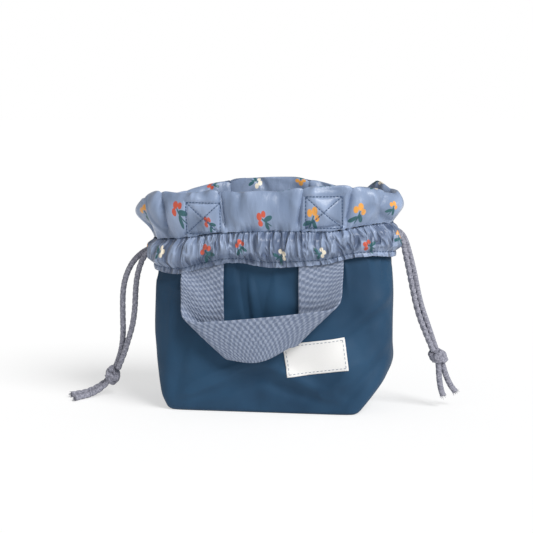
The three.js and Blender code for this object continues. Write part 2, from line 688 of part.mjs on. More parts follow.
// An overhand knot: two slanted wraps round the doubled cord
function knot(name) {
  const wraps = [1, -1].map((way) => {
    const wrap = new THREE.TorusGeometry(KNOT_RADIUS, KNOT_WRAP_RADIUS, ...KNOT_FACETS);
    return wrap.rotateX(way * KNOT_SLANT * DEGREE).translate(0, 0, way * KNOT_PITCH);
  });
  const core = new THREE.SphereGeometry(KNOT_RADIUS + KNOT_WRAP_RADIUS / 2, ...KNOT_FACETS);
  const turn = new THREE.Quaternion().setFromUnitVectors(
    new THREE.Vector3(0, 0, 1),
    vector(KNOT_AXES[name]).normalize(),
  );
  const lump = union([...wraps, core]).applyQuaternion(turn).translate(...KNOT_CENTRES[name]);
  const holes = Object.keys(ROUTES)
    .filter((key) => key.startsWith(name))
    .map((key) => socket(ROUTES[key], key.endsWith("strand")));
  return cut(lump, holes);
}

function buildCords() {
  for (const [name, own] of [["left", -1], ["right", 1]]) {
    for (const [way, face] of [["front", -1], ["back", 1]]) {
      add(`${name}_cord_${way}_run`, casingRun(own, cordLevel[name], face), materials.cord);
    }
    add(`${name}_cord_knot`, knot(name), materials.cord);
  }
  for (const [name, points] of Object.entries(ROUTES)) {
    add(name, tube(points.map(vector), CORD_SIDES), materials.cord);
  }
}

buildBase();
buildWalls();
buildBand();
buildStitches();
buildHandles();
buildLabel();
buildCords();

export default bag;
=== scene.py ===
"""A small boxed snack bag with a padded frill, a drawstring casing, webbing handles and two knotted cords.
Sizes are in millimetres here, and each mesh is made in metres."""
from math import copysign, cos, pi, radians, sin, tan

import bpy
import numpy as np
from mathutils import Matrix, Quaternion, Vector


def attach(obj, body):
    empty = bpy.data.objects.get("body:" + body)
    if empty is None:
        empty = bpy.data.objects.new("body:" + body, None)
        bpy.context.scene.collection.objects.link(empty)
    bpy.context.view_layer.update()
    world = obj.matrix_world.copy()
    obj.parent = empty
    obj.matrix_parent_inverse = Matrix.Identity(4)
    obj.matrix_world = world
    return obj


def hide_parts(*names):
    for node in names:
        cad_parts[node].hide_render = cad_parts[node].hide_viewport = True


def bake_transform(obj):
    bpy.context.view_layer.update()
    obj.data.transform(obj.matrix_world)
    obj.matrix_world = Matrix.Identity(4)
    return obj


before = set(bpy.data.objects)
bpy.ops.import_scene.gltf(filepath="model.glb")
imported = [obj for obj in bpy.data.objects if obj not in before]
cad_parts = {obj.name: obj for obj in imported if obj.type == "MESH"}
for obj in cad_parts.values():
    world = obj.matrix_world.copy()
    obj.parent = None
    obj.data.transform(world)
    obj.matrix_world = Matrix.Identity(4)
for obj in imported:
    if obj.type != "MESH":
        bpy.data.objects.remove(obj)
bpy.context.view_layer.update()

MM = 0.001

# The bag's plan: heights, half widths, half depth and the two exponents of its outline
HEM_HEIGHT = 127
WAIST_HEIGHT = 153.9
TOP_HEIGHT = 190.9
BASE_HALF_WIDTH = 83
BASE_HALF_DEPTH = 44
BODY_LEFT = 100.5
BODY_RIGHT = 110
BODY_HALF_DEPTH = 47
CASING_LEFT = 99
CASING_RIGHT = 106
CASING_HALF_DEPTH = 45.5
MOUTH_HALF_WIDTH = 113.4
MOUTH_HALF_DEPTH = 45.5
RIGHT_RISE = 9
HANDLE_SPACING = 102.4
HANDLE_OFFSET = 2
BODY_HEIGHT_SHARES = [0, 0.045, 0.12, 0.22, 0.32, 0.5, 0.74, 1]
LEFT_FLARE_SHARES = [0, 0.28, 0.45, 0.66, 0.82, 1, 0.98, 0.86]
RIGHT_FLARE_SHARES = [0, 0.2, 0.5, 0.83, 1, 1, 1, 0.98]
DEPTH_FLARE_SHARES = [0, 0.3, 0.6, 0.8, 0.95, 1, 0.9, 0.6]
SQUARENESS = [14, 12, 8, 5.4, 4.6, 4, 3.5, 3.2, 3, 3, 3, 3, 3]
SOFTNESS = [0.07, 0.08, 0.12, 0.18, 0.22, 0.26, 0.33, 0.42, 0.62, 0.68, 0.7, 0.7, 0.7]
PLAN_TOP = 206
PLAN_BLUR = 4
OUTLINE_POINTS = 1201
PLAN_COLUMNS = 801
# How far below the waist the casing's size is reached, and the height at which the mouth's is
CASING_DROP = 11.4
MOUTH_FROM = 172.5
# A face's length round its curve, as a share of its width
ARC_SHARE = 1.32

# Cord
CORD_DIAMETER = 5
CORD_SIDES = 18
CORD_STEP = 0.9
BRAID_STRANDS = 3
BRAID_PITCH = 6.2
BRAID_RELIEF_SHARE = 0.16
FRONT, BACK = -1, 1


def smooth(share):
    s = np.clip(share, 0, 1)
    return s * s * (3 - 2 * s)


def mix(a, b, share):
    return a + (b - a) * share


# Camera


def new_object(name, data, aim=None, roll=0.0):
    """An object in the scene, which looks along a direction if one is given"""
    made = bpy.data.objects.new(name, data)
    if aim is not None:
        made.rotation_mode = "QUATERNION"
        made.rotation_quaternion = aim.to_track_quat("-Z", "Y") @ Quaternion((0, 0, 1), roll)
    bpy.context.collection.objects.link(made)
    return made


CAMERA_AZIMUTH = radians(10)
CAMERA_ELEVATION = radians(8)
CAMERA_ROLL = radians(-0.5)
CAMERA_LENS = 100
SENSOR = 36
VIEW_WIDTH = 471.2
VIEW_TARGET = (-1.6, 0, 122)


def make_camera():
    data = bpy.data.cameras.new("camera")
    data.lens = CAMERA_LENS
    data.sensor_width = SENSOR
    a, e = CAMERA_AZIMUTH, CAMERA_ELEVATION
    back = Vector((sin(a) * cos(e), -cos(a) * cos(e), sin(e)))
    distance = VIEW_WIDTH * CAMERA_LENS / SENSOR
    camera = new_object("camera", data, aim=-back, roll=CAMERA_ROLL)
    camera.location = (Vector(VIEW_TARGET) + back * distance) * MM
    bpy.context.scene.camera = camera


# Materials


class Tree:
    """A material's node tree, with short calls for its sums"""

    def __init__(self, name):
        self.material = bpy.data.materials.new(name)
        self.material.use_nodes = True
        self.nodes = self.material.node_tree.nodes
        self.shader = self.nodes["Principled BSDF"]

    def fill(self, node, **inputs):
        for key, value in inputs.items():
            self.put(node.inputs[key.replace("_", " ")], value)
        return node

    def node(self, kind, **inputs):
        return self.fill(self.nodes.new(kind), **inputs)

    def surface(self, colour, roughness, **more):
        """The material, with its shader's inputs set"""
        self.fill(self.shader, Base_Color=colour, Roughness=roughness, **more)
        return self.material

    def put(self, socket, value):
        if isinstance(value, bpy.types.NodeSocket):
            self.material.node_tree.links.new(value, socket)
        else:
            socket.default_value = value

    def sum(self, operation, *values, clamp=False):
        made = self.nodes.new("ShaderNodeMath")
        made.operation = operation
        made.use_clamp = clamp
        for socket, value in zip(made.inputs, values):
            self.put(socket, value)
        return made.outputs[0]

    def plus(self, a, b):
        return self.sum("ADD", a, b)

    def times(self, a, b):
        return self.sum("MULTIPLY", a, b)

    def scaled(self, value, gain, shift):
        """value times gain plus shift, kept between 0 and 1"""
        return self.sum("MULTIPLY_ADD", value, gain, shift, clamp=True)

    def blend(self, share, a, b):
        made = self.nodes.new("ShaderNodeMix")
        made.data_type = "RGBA"
        for index, value in ((0, share), (6, a), (7, b)):
            self.put(made.inputs[index], value)
        return made.outputs[2]

    def uv(self):
        """The surface's own coordinates, in millimetres"""
        split = self.node("ShaderNodeSeparateXYZ", Vector=self.nodes.new("ShaderNodeUVMap").outputs[0])
        return split.outputs[:2]

    def noise(self, scale, detail, stretch=(1, 1, 1), wander=0.0):
        uv = self.nodes.new("ShaderNodeUVMap").outputs[0]
        mapping = self.node("ShaderNodeMapping", Vector=uv, Scale=stretch)
        return self.node("ShaderNodeTexNoise", Vector=mapping.outputs[0], Scale=scale, Detail=detail,
                         Distortion=wander).outputs[0]

    def bump(self, height, distance, strength, **below):
        return self.node("ShaderNodeBump", Height=height, Distance=distance * MM, Strength=strength,
                         **below).outputs[0]

    def weave(self, pitches, drift=None):
        """Rounded cells in a staggered grid, from 0 in the gaps to 1 on the threads"""
        waves = []
        for place, pitch in zip(self.uv(), pitches):
            if drift is not None:
                place = self.plus(place, drift)
            waves.append(self.sum("SINE", self.times(place, 2 * pi / pitch)))
        return self.sum("MULTIPLY_ADD", self.times(*waves), 0.5, 0.5)


def srgb(*levels):
    """A linear colour from its red, green and blue levels of 0 to 255"""
    shares = [level / 255 for level in levels]
    return (*(s / 12.92 if s <= 0.04045 else ((s + 0.055) / 1.055) ** 2.4 for s in shares), 1.0)


# Thread spacing of each cloth, across and along
SHELL_THREADS = (0.9, 0.9)
BAND_THREADS = (0.6, 0.6)
LABEL_THREADS = (0.7, 0.7)
WEBBING_THREADS = (6.6, 4.4)


def shell_material():
    tree = Tree("navy_cloth")
    # Painted shade: broad random patches from dark to light navy stand in for the soft shade across the body
    tone = tree.scaled(tree.noise(0.014, 3.0), 1.6, -0.3)
    colour = tree.blend(tone, srgb(18, 50, 76), srgb(42, 82, 114))
    # Painted shade: the gaps between the threads take a darker navy
    gaps = tree.blend(0.25, colour, srgb(20, 45, 70))
    weave = tree.weave(SHELL_THREADS)
    slack = tree.bump(tree.noise(0.017, 1.5), 42.0, 0.4)
    coarse = tree.bump(tree.noise(0.1, 4.0), 0.4, 0.6, Normal=slack)
    return tree.surface(tree.blend(weave, gaps, colour), 0.66, Specular_IOR_Level=0.3,
                        Normal=tree.bump(weave, 0.1, 0.5, Normal=coarse))


MOTIF_CELL = (50.0, 33.0)
MOTIF_DRIFT = (22.0, 13.0)
MOTIF_TILT = 1.5
MOTIF_SCALES = (0.62, 0.9)
BERRIES = [(-2.6, 2.6, 1.7), (0.3, 4.6, 1.9), (2.9, 2.4, 1.6)]
LEAVES = [(-2.5, -2.6, 3.1, 1.3, 0.7), (2.6, -1.4, 3.2, 1.3, -0.75)]
STEM = (0.1, -1.0, 4.6, 0.5, 1.5)


def ellipse(tree, x, y, shape):
    """1 inside an ellipse given as centre, half sizes and turn, falling to 0 over its soft edge"""
    cx, cy, rx, ry, turn = shape
    dx, dy = tree.sum("SUBTRACT", x, cx), tree.sum("SUBTRACT", y, cy)
    c, s = cos(turn), sin(turn)
    along = tree.plus(tree.times(dx, c / rx), tree.times(dy, s / rx))
    across = tree.sum("SUBTRACT", tree.times(dy, c / ry), tree.times(dx, s / ry))
    reach = tree.plus(tree.times(along, along), tree.times(across, across))
    return tree.scaled(reach, -4.0, 4.6)


def motif_colour(tree, ground):
    """Berry sprigs in a brick layout, each turned by its own amount and in one of three colours"""

    def centred(share, length):
        return tree.times(tree.sum("SUBTRACT", share, 0.5), length)

    u, v = tree.uv()
    up = tree.sum("DIVIDE", v, MOTIF_CELL[1])
    row = tree.sum("FLOOR", up)
    shift = tree.times(tree.sum("MODULO", tree.sum("ABSOLUTE", row), 2.0), 0.5)
    across = tree.plus(tree.sum("DIVIDE", u, MOTIF_CELL[0]), shift)
    cell = tree.node("ShaderNodeCombineXYZ", X=tree.sum("FLOOR", across), Y=row)
    random = tree.node("ShaderNodeTexWhiteNoise", Vector=cell.outputs[0])
    random.noise_dimensions = "2D"
    chance = tree.node("ShaderNodeSeparateXYZ", Vector=random.outputs[1])
    x, y = (
        tree.plus(centred(tree.sum("FRACT", place), size), centred(chance.outputs[i], drift))
        for i, place, size, drift in zip((1, 2), (across, up), MOTIF_CELL, MOTIF_DRIFT)
    )
    scale = tree.sum("MULTIPLY_ADD", chance.outputs[1], MOTIF_SCALES[1] - MOTIF_SCALES[0], MOTIF_SCALES[0])
    local = tree.node("ShaderNodeCombineXYZ", X=tree.times(x, scale), Y=tree.times(y, scale))
    turned = tree.nodes.new("ShaderNodeVectorRotate")
    turned.rotation_type = "Z_AXIS"
    tilt = tree.sum("MULTIPLY_ADD", random.outputs[0], 2 * MOTIF_TILT, -MOTIF_TILT)
    tree.fill(turned, Vector=local.outputs[0], Angle=tilt)
    mx, my, _ = tree.node("ShaderNodeSeparateXYZ", Vector=turned.outputs[0]).outputs
    warm = tree.blend(tree.sum("GREATER_THAN", random.outputs[0], 0.5), srgb(196, 84, 62), srgb(226, 158, 72))
    berry = tree.blend(tree.sum("GREATER_THAN", random.outputs[0], 0.82), warm, srgb(236, 226, 205))
    colour = ground
    for leaf in LEAVES + [STEM]:
        colour = tree.blend(ellipse(tree, mx, my, leaf), colour, srgb(42, 92, 100))
    for cx, cy, radius in BERRIES:
        colour = tree.blend(ellipse(tree, mx, my, (cx, cy, radius, radius, 0.0)), colour, berry)
    return colour


def band_material(name, dark, light, scale, stretch, depth, contrast, wander):
    """Printed satin with painted shade in the hollows of its soft folds, with fine wrinkles and a tight weave
    """
    tree = Tree(name)
    fold = tree.noise(scale, 1.2, (1, stretch, 1), wander)
    # Painted shade: the noise that bends the folds also runs the satin from its dark colour in the hollows to
    # its light colour on the crests
    raised = tree.scaled(fold, contrast, 0.5 - contrast / 2)
    folds = tree.bump(fold, depth, 0.9)
    wrinkles = tree.bump(tree.noise(0.16, 2.0, (1, 0.4, 1), 0.8), 0.7, 0.7, Normal=folds)
    return tree.surface(motif_colour(tree, tree.blend(raised, dark, light)), 0.36, Sheen_Weight=0.1,
                        Normal=tree.bump(tree.weave(BAND_THREADS), 0.05, 0.4, Normal=wrinkles))


def lining_material():
    tree = Tree("lining_cloth")
    tone = tree.scaled(tree.noise(0.05, 3.0), 0.8, 0.1)
    return tree.surface(tree.blend(tone, srgb(128, 145, 176), srgb(143, 160, 191)), 0.5,
                        Normal=tree.bump(tree.noise(0.15, 4.0), 0.6, 0.6))


def webbing_material():
    """Rows of raised threads in a brick layout, a little uneven, as coarse webbing has, with painted shade in
    the gaps between them
    """
    tree = Tree("woven_webbing")
    drift = tree.sum("MULTIPLY_ADD", tree.noise(0.35, 3.0), 3.6, -1.8)
    weave = tree.weave(WEBBING_THREADS, drift)
    # Painted shade: the gaps between the threads take the darker colour
    gap_shade_mask = tree.scaled(weave, 2.4, -0.8)
    worn = tree.scaled(tree.noise(0.5, 5.0), 1.2, -0.1)
    light = tree.blend(worn, srgb(132, 143, 164), srgb(156, 166, 186))
    return tree.surface(tree.blend(gap_shade_mask, srgb(108, 120, 143), light), 0.85, Normal=tree.bump(weave, 0.7, 0.8))


def cord_material():
    tree = Tree("braided_cord")
    fibre = tree.noise(0.9, 5.0, (1, 0.4, 1))
    colour = tree.blend(tree.scaled(fibre, 2.4, -0.7), srgb(90, 92, 106), srgb(170, 170, 182))
    return tree.surface(colour, 0.9, Normal=tree.bump(fibre, 0.5, 0.7))


def thread_material():
    tree = Tree("sewing_thread")
    twist = tree.noise(1.5, 2.0, (1, 4, 1))
    return tree.surface(tree.blend(twist, srgb(52, 74, 106), srgb(78, 100, 132)), 0.6)


def label_material():
    tree = Tree("label_cloth")
    weave = tree.weave(LABEL_THREADS)
    # Painted shade: the gaps between the threads are a little darker
    return tree.surface(tree.blend(weave, srgb(222, 221, 219), srgb(242, 241, 239)), 0.75,
                        Normal=tree.bump(weave, 0.08, 0.6))


# How much of the floor is plain white where it is seen: the rest takes the light and keeps the shadow
FLOOR_WHITE_SHARE = 0.55


def floor_material():
    tree = Tree("floor")
    tree.surface((0.96, 0.96, 0.96, 1), 0.9, Specular_IOR_Level=0)
    path = tree.nodes.new("ShaderNodeLightPath")
    seen = tree.plus(path.outputs["Is Camera Ray"], path.outputs["Is Glossy Ray"])
    seen = tree.sum("ADD", seen, path.outputs["Is Transmission Ray"], clamp=True)
    choice, white = tree.nodes.new("ShaderNodeMixShader"), tree.nodes.new("ShaderNodeEmission")
    share = tree.times(seen, FLOOR_WHITE_SHARE)
    for socket, value in zip(choice.inputs, (share, tree.shader.outputs[0], white.outputs[0])):
        tree.put(socket, value)
    tree.put(tree.nodes["Material Output"].inputs["Surface"], choice.outputs[0])
    return tree.material


materials = {
    "shell": shell_material(),
    # Each satin's dark and light colours are its painted shade in the fold hollows and its lit crests
    "band": band_material("printed_satin", srgb(112, 129, 157), srgb(147, 164, 193),
                          scale=0.034, stretch=0.8, depth=15.0, contrast=2.6, wander=0.5),
    # A darker copy of the same satin for the casing: painted shade for its deep folds and its downward-facing
    # underside
    "gathered": band_material("gathered_satin_painted_shade", srgb(76, 91, 119), srgb(142, 158, 186),
                              scale=0.1, stretch=0.42, depth=10.0, contrast=3.8, wander=1.4),
    "lining": lining_material(),
    "webbing": webbing_material(),
    "cord": cord_material(),
    "thread": thread_material(),
    "label": label_material(),
}


# Meshes


def mesh_object(name, points, faces, uvs, slot_name, replaced=()):
    """uvs holds one (u, v) in millimetres for each point"""
    mesh = bpy.data.meshes.new(name)
    mesh.from_pydata((np.asarray(points) * MM).tolist(), [], faces)
    layer = mesh.uv_layers.new(name="UVMap")
    corners = np.zeros(len(mesh.loops), np.int32)
    mesh.loops.foreach_get("vertex_index", corners)
    layer.data.foreach_set("uv", np.asarray(uvs, np.float32)[corners].ravel())
    mesh.polygons.foreach_set("use_smooth", [True] * len(mesh.polygons))
    made = new_object(name, mesh)
    mesh.materials.append(materials[slot_name])
    if replaced:
        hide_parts(*replaced)
    return made


def grid_faces(rows, columns, flip=False, start=0, closed=False):
    faces = []
    span = columns if closed else columns - 1
    for r in range(rows - 1):
        for c in range(span):
            d = (c + 1) % columns
            low = start + r * columns
            quad = (low + c, low + d, low + columns + d, low + columns + c)
            faces.append(quad[::-1] if flip else quad)
    return faces


def tube_faces(rows, columns, start=0):
    """Faces of a tube with both its ends closed"""
    faces = grid_faces(rows, columns, start=start, closed=True)
    faces.append(tuple(range(start, start + columns))[::-1])
    faces.append(tuple(range(start + (rows - 1) * columns, start + rows * columns)))
    return faces


def grid_object(name, points, uv, slot_name, replaced, thick, flip=False, offset=-1):
    """A sheet whose thickness lies inwards of its points, or on both sides of them at offset 0"""
    faces = grid_faces(*points.shape[:2], flip)
    made = mesh_object(name, points.reshape(-1, 3), faces, uv.reshape(-1, 2), slot_name, replaced)
    solidify = made.modifiers.new("thickness", "SOLIDIFY")
    solidify.thickness = thick * MM
    solidify.offset = offset
    return made


def lattice(u, v, seed):
    """Smooth random values from -1 to 1 over a plane, one knot for each unit"""
    size = 97
    knots = np.random.default_rng(seed).uniform(-1, 1, (size, size))
    iu, iv = np.floor(u).astype(int), np.floor(v).astype(int)
    fu, fv = smooth(u - iu), smooth(v - iv)
    low = mix(knots[iu % size, iv % size], knots[(iu + 1) % size, iv % size], fu)
    high = mix(knots[iu % size, (iv + 1) % size], knots[(iu + 1) % size, (iv + 1) % size], fu)
    return mix(low, high, fv)


def billow(u, v, seed):
    """Round puffs, with sharp creases at 0 between them"""
    return np.abs(lattice(u, v, seed) + 0.5 * lattice(2 * u + 7, v + 3, seed + 1))


def arc_lengths(line):
    """The distance from a line's start to each of its points"""
    return np.concatenate([[0], np.cumsum(np.linalg.norm(np.diff(line, axis=0), axis=1))])


def read_along(places, arc, line):
    return np.stack([np.interp(places, arc, line[:, j]) for j in range(3)], -1)


# The bag's surface


def blurred(places, xs, values, width, reach):
    """A line through values, read at evenly spaced places and then averaged by a bell curve"""
    kernel = np.exp(-0.5 * (np.arange(-reach, reach + 1) / width) ** 2)
    padded = np.pad(np.interp(places, xs, values), reach, mode="edge")
    return np.convolve(padded, kernel / kernel.sum(), mode="valid")


def plan_tables():
    """Half outlines of the bag, one for each millimetre of height, in even steps round from the left tip"""
    upper = [WAIST_HEIGHT - CASING_DROP, WAIST_HEIGHT, MOUTH_FROM, TOP_HEIGHT, PLAN_TOP]
    heights = [share * HEM_HEIGHT for share in BODY_HEIGHT_SHARES] + upper

    def row(values):
        return blurred(np.arange(PLAN_TOP + 1), heights, values, PLAN_BLUR, 3 * PLAN_BLUR)

    def sizes(base, body, shares, casing, mouth=MOUTH_HALF_WIDTH):
        return row([mix(base, body, share) for share in shares] + [casing, casing, mouth, mouth, mouth])

    left = sizes(BASE_HALF_WIDTH, BODY_LEFT, LEFT_FLARE_SHARES, CASING_LEFT)
    right = sizes(BASE_HALF_WIDTH, BODY_RIGHT, RIGHT_FLARE_SHARES, CASING_RIGHT)
    depth = sizes(BASE_HALF_DEPTH, BODY_HALF_DEPTH, DEPTH_FLARE_SHARES, CASING_HALF_DEPTH, MOUTH_HALF_DEPTH)
    square, soft = row(SQUARENESS), row(SOFTNESS)
    spread = np.sin(np.linspace(-1, 1, OUTLINE_POINTS) * pi / 2)
    even = np.linspace(0, 1, PLAN_COLUMNS)
    tables = []
    for i in range(PLAN_TOP + 1):
        x = spread * np.where(spread < 0, left[i], right[i])
        y = depth[i] * (1 - np.abs(spread) ** square[i]) ** soft[i]
        arc = np.concatenate([[0], np.cumsum(np.hypot(np.diff(x), np.diff(y)))])
        tables.append([np.interp(even, arc / arc[-1], outline) for outline in (x, y)])
    return np.array(tables).swapaxes(0, 1)


PLAN_X, PLAN_Y = plan_tables()
tangent_x, tangent_y = np.gradient(PLAN_X, axis=1), np.gradient(PLAN_Y, axis=1)
tangent = np.hypot(tangent_x, tangent_y)
NORMAL_X, NORMAL_Y = -tangent_y / tangent, tangent_x / tangent
NORMAL_X[:, 0], NORMAL_Y[:, 0] = -1, 0
NORMAL_X[:, -1], NORMAL_Y[:, -1] = 1, 0


def sample(table, t, z):
    """Bilinear reading of a plan table at side share t, from -1 to 1, and height z"""
    c = (np.clip(t, -1, 1) + 1) / 2 * (table.shape[1] - 1)
    r = np.clip(z, 0, PLAN_TOP)
    c0, r0 = np.minimum(c.astype(int), table.shape[1] - 2), np.minimum(r.astype(int), PLAN_TOP - 1)
    fc, fr = c - c0, r - r0
    low = mix(table[r0, c0], table[r0, c0 + 1], fc)
    high = mix(table[r0 + 1, c0], table[r0 + 1, c0 + 1], fc)
    return mix(low, high, fr)


def skin(face, t, z, out):
    """Points at distance out from the bag's surface, with the band's climb to the right"""
    t, z, out = np.broadcast_arrays(*(np.asarray(values, float) for values in (t, z, out)))
    x = sample(PLAN_X, t, z) + sample(NORMAL_X, t, z) * out
    y = sample(PLAN_Y, t, z) + sample(NORMAL_Y, t, z) * out
    reach = smooth((x - HANDLE_SPACING / 2) / (CASING_RIGHT - HANDLE_SPACING / 2))
    band = smooth(z / HEM_HEIGHT * 2 - 1) * (1 - smooth((z - WAIST_HEIGHT) / (TOP_HEIGHT - WAIST_HEIGHT)))
    return np.stack([x, face * y, z + RIGHT_RISE * reach * band], -1)


def arc_of(t):
    """About the distance along the surface from the middle of a face, in millimetres"""
    return t * (ARC_SHARE * (CASING_LEFT + CASING_RIGHT) / 2)


def normals(points, face):
    du, dv = np.gradient(points, axis=1), np.gradient(points, axis=0)
    n = np.cross(du, dv) * -face
    return n / np.maximum(np.linalg.norm(n, axis=-1, keepdims=True), 1e-9)


def emboss(points, face, relief):
    return points + normals(points, face) * relief[..., None]


def t_at(x, z):
    """The side share at which the surface has this x"""
    row = PLAN_X[int(round(float(np.clip(z, 0, PLAN_TOP))))]
    return float(np.interp(x, row, np.linspace(-1, 1, len(row))))


def seam_fade(t, reach=0.07):
    """0 at the side seams and 1 away from them"""
    return smooth((1 - np.abs(t)) / reach)


def follow_wall(piece):
    """Bakes the piece's placement into its mesh"""
    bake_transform(piece)


def grid(t_count, v_count):
    return np.meshgrid(np.linspace(-1, 1, t_count), np.linspace(0, 1, v_count))


SIDE = {FRONT: "front", BACK: "back"}
END = {FRONT: "left", BACK: "right"}
BOTTOM_ROUND = 3
LINING_INSET = 6
LINING_EDGE_INSET = 4.7
LINING_TURN = 151
LINING_TOP = 160
SLACK_MOST = 1.7
SLACK_DEEPEST = 3
SHELL_TOP = 150
SHELL_THICK = 0.8
SATIN_THICK = 0.7
THIN_CLOTH = 0.5


def bend_mark(x, z, cx, cz, angle, length, width):
    """A soft ridge or dent along a line, 1 at its middle"""
    dx, dz = x - cx, z - cz
    along = dx * cos(angle) + dz * sin(angle)
    across = -dx * sin(angle) + dz * cos(angle)
    return np.exp(-((along / length) ** 2) - (across / width) ** 2)


# Slack in the front panel: place, direction, length, width and depth, inwards where it is negative
FRONT_SLACK = [
    (-14, 108, 1.72, 34, 3.4, -1.1), (-7, 104, 1.66, 30, 4, 0.5), (2, 110, 1.6, 24, 3.6, -0.5),
    (-24, 38, 0.4, 46, 5, 0.9), (-14, 27, 0.36, 44, 5, -0.9), (30, 32, -0.45, 44, 5, 1.0),
    (22, 21, -0.35, 40, 5, -0.9), (-78, 70, 1.45, 56, 6, 0.8), (-66, 62, 1.35, 46, 6, -0.8),
    (-46, 26, 0.52, 34, 5, 0.9), (92, 87, 0.6, 34, 5, 0.8), (92, 76, 0.6, 32, 5, -0.8),
    (76, 34, 0.7, 40, 6, 0.9), (88, 30, 0.9, 34, 5, -0.8),
]
BACK_SLACK = [
    (-70, 30, 0.6, 34, 9, 1.6), (76, 60, 1.4, 50, 9, -1.7), (10, 24, 0.1, 46, 9, 1.2),
    (-84, 90, 1.5, 36, 9, 1.4), (30, 40, -0.3, 44, 12, -1.3),
]


def build_shell(face):
    """The navy body, from its bottom edge up under the band"""
    t, v = grid(260, 110)
    run = v * (SHELL_TOP + BOTTOM_ROUND)
    turn = np.clip(run / (BOTTOM_ROUND * pi / 2), 0, 1) * pi / 2
    z = np.maximum(0.3 + BOTTOM_ROUND * (1 - np.cos(turn)), run - BOTTOM_ROUND * (pi / 2 - 1))
    out = -BOTTOM_ROUND * (1 - np.sin(turn))
    points = skin(face, t, z, out)
    x = points[..., 0]
    slack = FRONT_SLACK if face == FRONT else BACK_SLACK
    relief = sum(depth * bend_mark(x, z, *mark) for *mark, depth in slack)
    seed = 11 if face == FRONT else 23
    relief = 2.6 * relief + 1.7 * lattice(x / 30 + 5, z / 34, seed)
    relief = relief + 0.6 * lattice(x / 16, z / 19, seed + 1) - 0.5
    relief = np.clip(relief, -SLACK_DEEPEST, SLACK_MOST)
    relief = relief * smooth((z - 3) / 14) * seam_fade(t, 0.12)
    tucked = smooth((z - 98) / 20)
    relief = np.minimum(relief, 3 * (1 - tucked) - 0.6 * tucked)
    under = smooth((z - 92) / 34) * 2.4 * billow(arc_of(t) / 17, z / 60, seed + 2)
    relief = np.maximum(relief - under * seam_fade(t), -SLACK_DEEPEST)
    points = emboss(points, face, relief)
    uv = np.stack([arc_of(t), run], -1)
    places = (SIDE[face], f"{END[face]}_side")
    names = [f"{layer}_{place}" for layer in ("shell", "padding") for place in places]
    piece = grid_object(f"{places[0]}_shell_cloth", points, uv, "shell", names, SHELL_THICK, face == BACK)
    follow_wall(piece)


def build_base():
    """The bottom panel, which the bag stands on, and the lining's floor over it"""
    t = np.linspace(-1, 1, 121)
    for name, z, level, inset, slot_name, nodes in (
        ("base_cloth", 0.62, 0.0, 2.4, "shell", ("shell_base", "padding_base")),
        ("base_lining_cloth", 5.4, 5.4, 6.3, "lining", ("lining_base",)),
    ):
        front, back = (skin(face, t, level, -inset)[None] for face in (FRONT, BACK))
        points = mix(front, back, np.linspace(0, 1, 25)[:, None, None])
        points[..., 2] = z
        if slot_name == "lining":
            points[..., 2] += 0.5 * lattice(points[..., 0] / 24, points[..., 1] / 20, 41)
        piece = grid_object(name, points, points[..., :2], slot_name, nodes, THIN_CLOTH)
        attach(piece, "base")


def build_lining(face):
    t, v = grid(200, 80)
    z = mix(5.0, LINING_TOP, v)
    sewn = smooth((z - LINING_TURN) / (LINING_TOP - LINING_TURN))
    points = skin(face, t, z, mix(-LINING_INSET, -LINING_EDGE_INSET, sewn))
    x = points[..., 0]
    seed = 31 if face == FRONT else 37
    puffs = 1.4 * smooth((z - 120) / 30) * billow(arc_of(t) / 14, z / 50, seed)
    relief = np.minimum(lattice(x / 30, z / 34, seed) + puffs, 1)
    points = emboss(points, face, relief * (1 - sewn) * seam_fade(t, 0.1) * smooth((z - 5) / 12))
    uv = np.stack([arc_of(t), z], -1)
    names = (f"lining_{SIDE[face]}", f"lining_{END[face]}_side")
    piece = grid_object(f"{SIDE[face]}_lining_cloth", points, uv, "lining", names, THIN_CLOTH, face == BACK)
    follow_wall(piece)


# Band: heights of its hem, waist and top edge along x, chosen after the picture
HEM_X = [-112, -100, -75, -52, -31, -18, 4, 16, 45, 73, 93, 112]
WAIST_Z = {
    FRONT: [146.5, 147.5, 150.8, 154, 156.5, 157.6, 158.6, 158.8, 158.4, 156.5, 154.6, 153.5],
    BACK: [147, 148.5, 153, 155, 155, 156, 157, 157, 156, 155, 154.5, 153.5],
}
HEM_Z = {
    FRONT: [123.5, 121, 119.5, 127, 131.5, 131.5, 127.5, 128, 130, 132, 128, 124],
    BACK: [127, 127, 128, 130, 129, 127, 128, 130, 131, 129, 128, 124],
}
TOP_X = [-120, -112, -101, -88, -66, -35, -16, 3, 20, 36, 60, 76, 93, 106, 120]
TOP_Z = {
    FRONT: [176, 182, 187, 191.5, 190.5, 195, 192, 193, 193, 196.5, 196, 197.5, 195, 191, 188],
    BACK: [175, 178, 180, 184, 190, 198, 198, 198, 198.5, 196, 188, 184.5, 200, 191, 188],
}
CASING_RUN_SHARES = [0, 0.05, 0.13, 0.2, 0.34, 0.55, 0.78, 0.93, 1]
CASING_OUT = [3.2, 3.7, 3.6, 4.8, 9.6, 10.6, 9.8, 4.8, 3.3]
FRILL_SHARES = [0, 0.1, 0.3, 0.55, 0.78, 0.93, 1, 0.96, 0.82, 0.6, 0.35, 0.1, -0.1]
FRILL_OUT = [3.3, 4.9, 6.4, 6.8, 5.4, 3.0, 0.8, -1.4, -3.8, -5.2, -5.2, -4.4, -4.2]
FRILL_OUTER_ROWS = 44
EDGE_BLUR = 7
EDGE_BLUR_REACH = 30
TIP_OUT = 3
CREASE_FADE_SHARE = 0.55
# How strongly the cords draw the casing's gathers, along x
DRAW_X = [-110, -80, -50, -25, 10, 40, 60, 85, 110]
DRAW = [0.7, 0.45, 0.5, 0.9, 1.15, 1.0, 0.75, 1.1, 0.9]

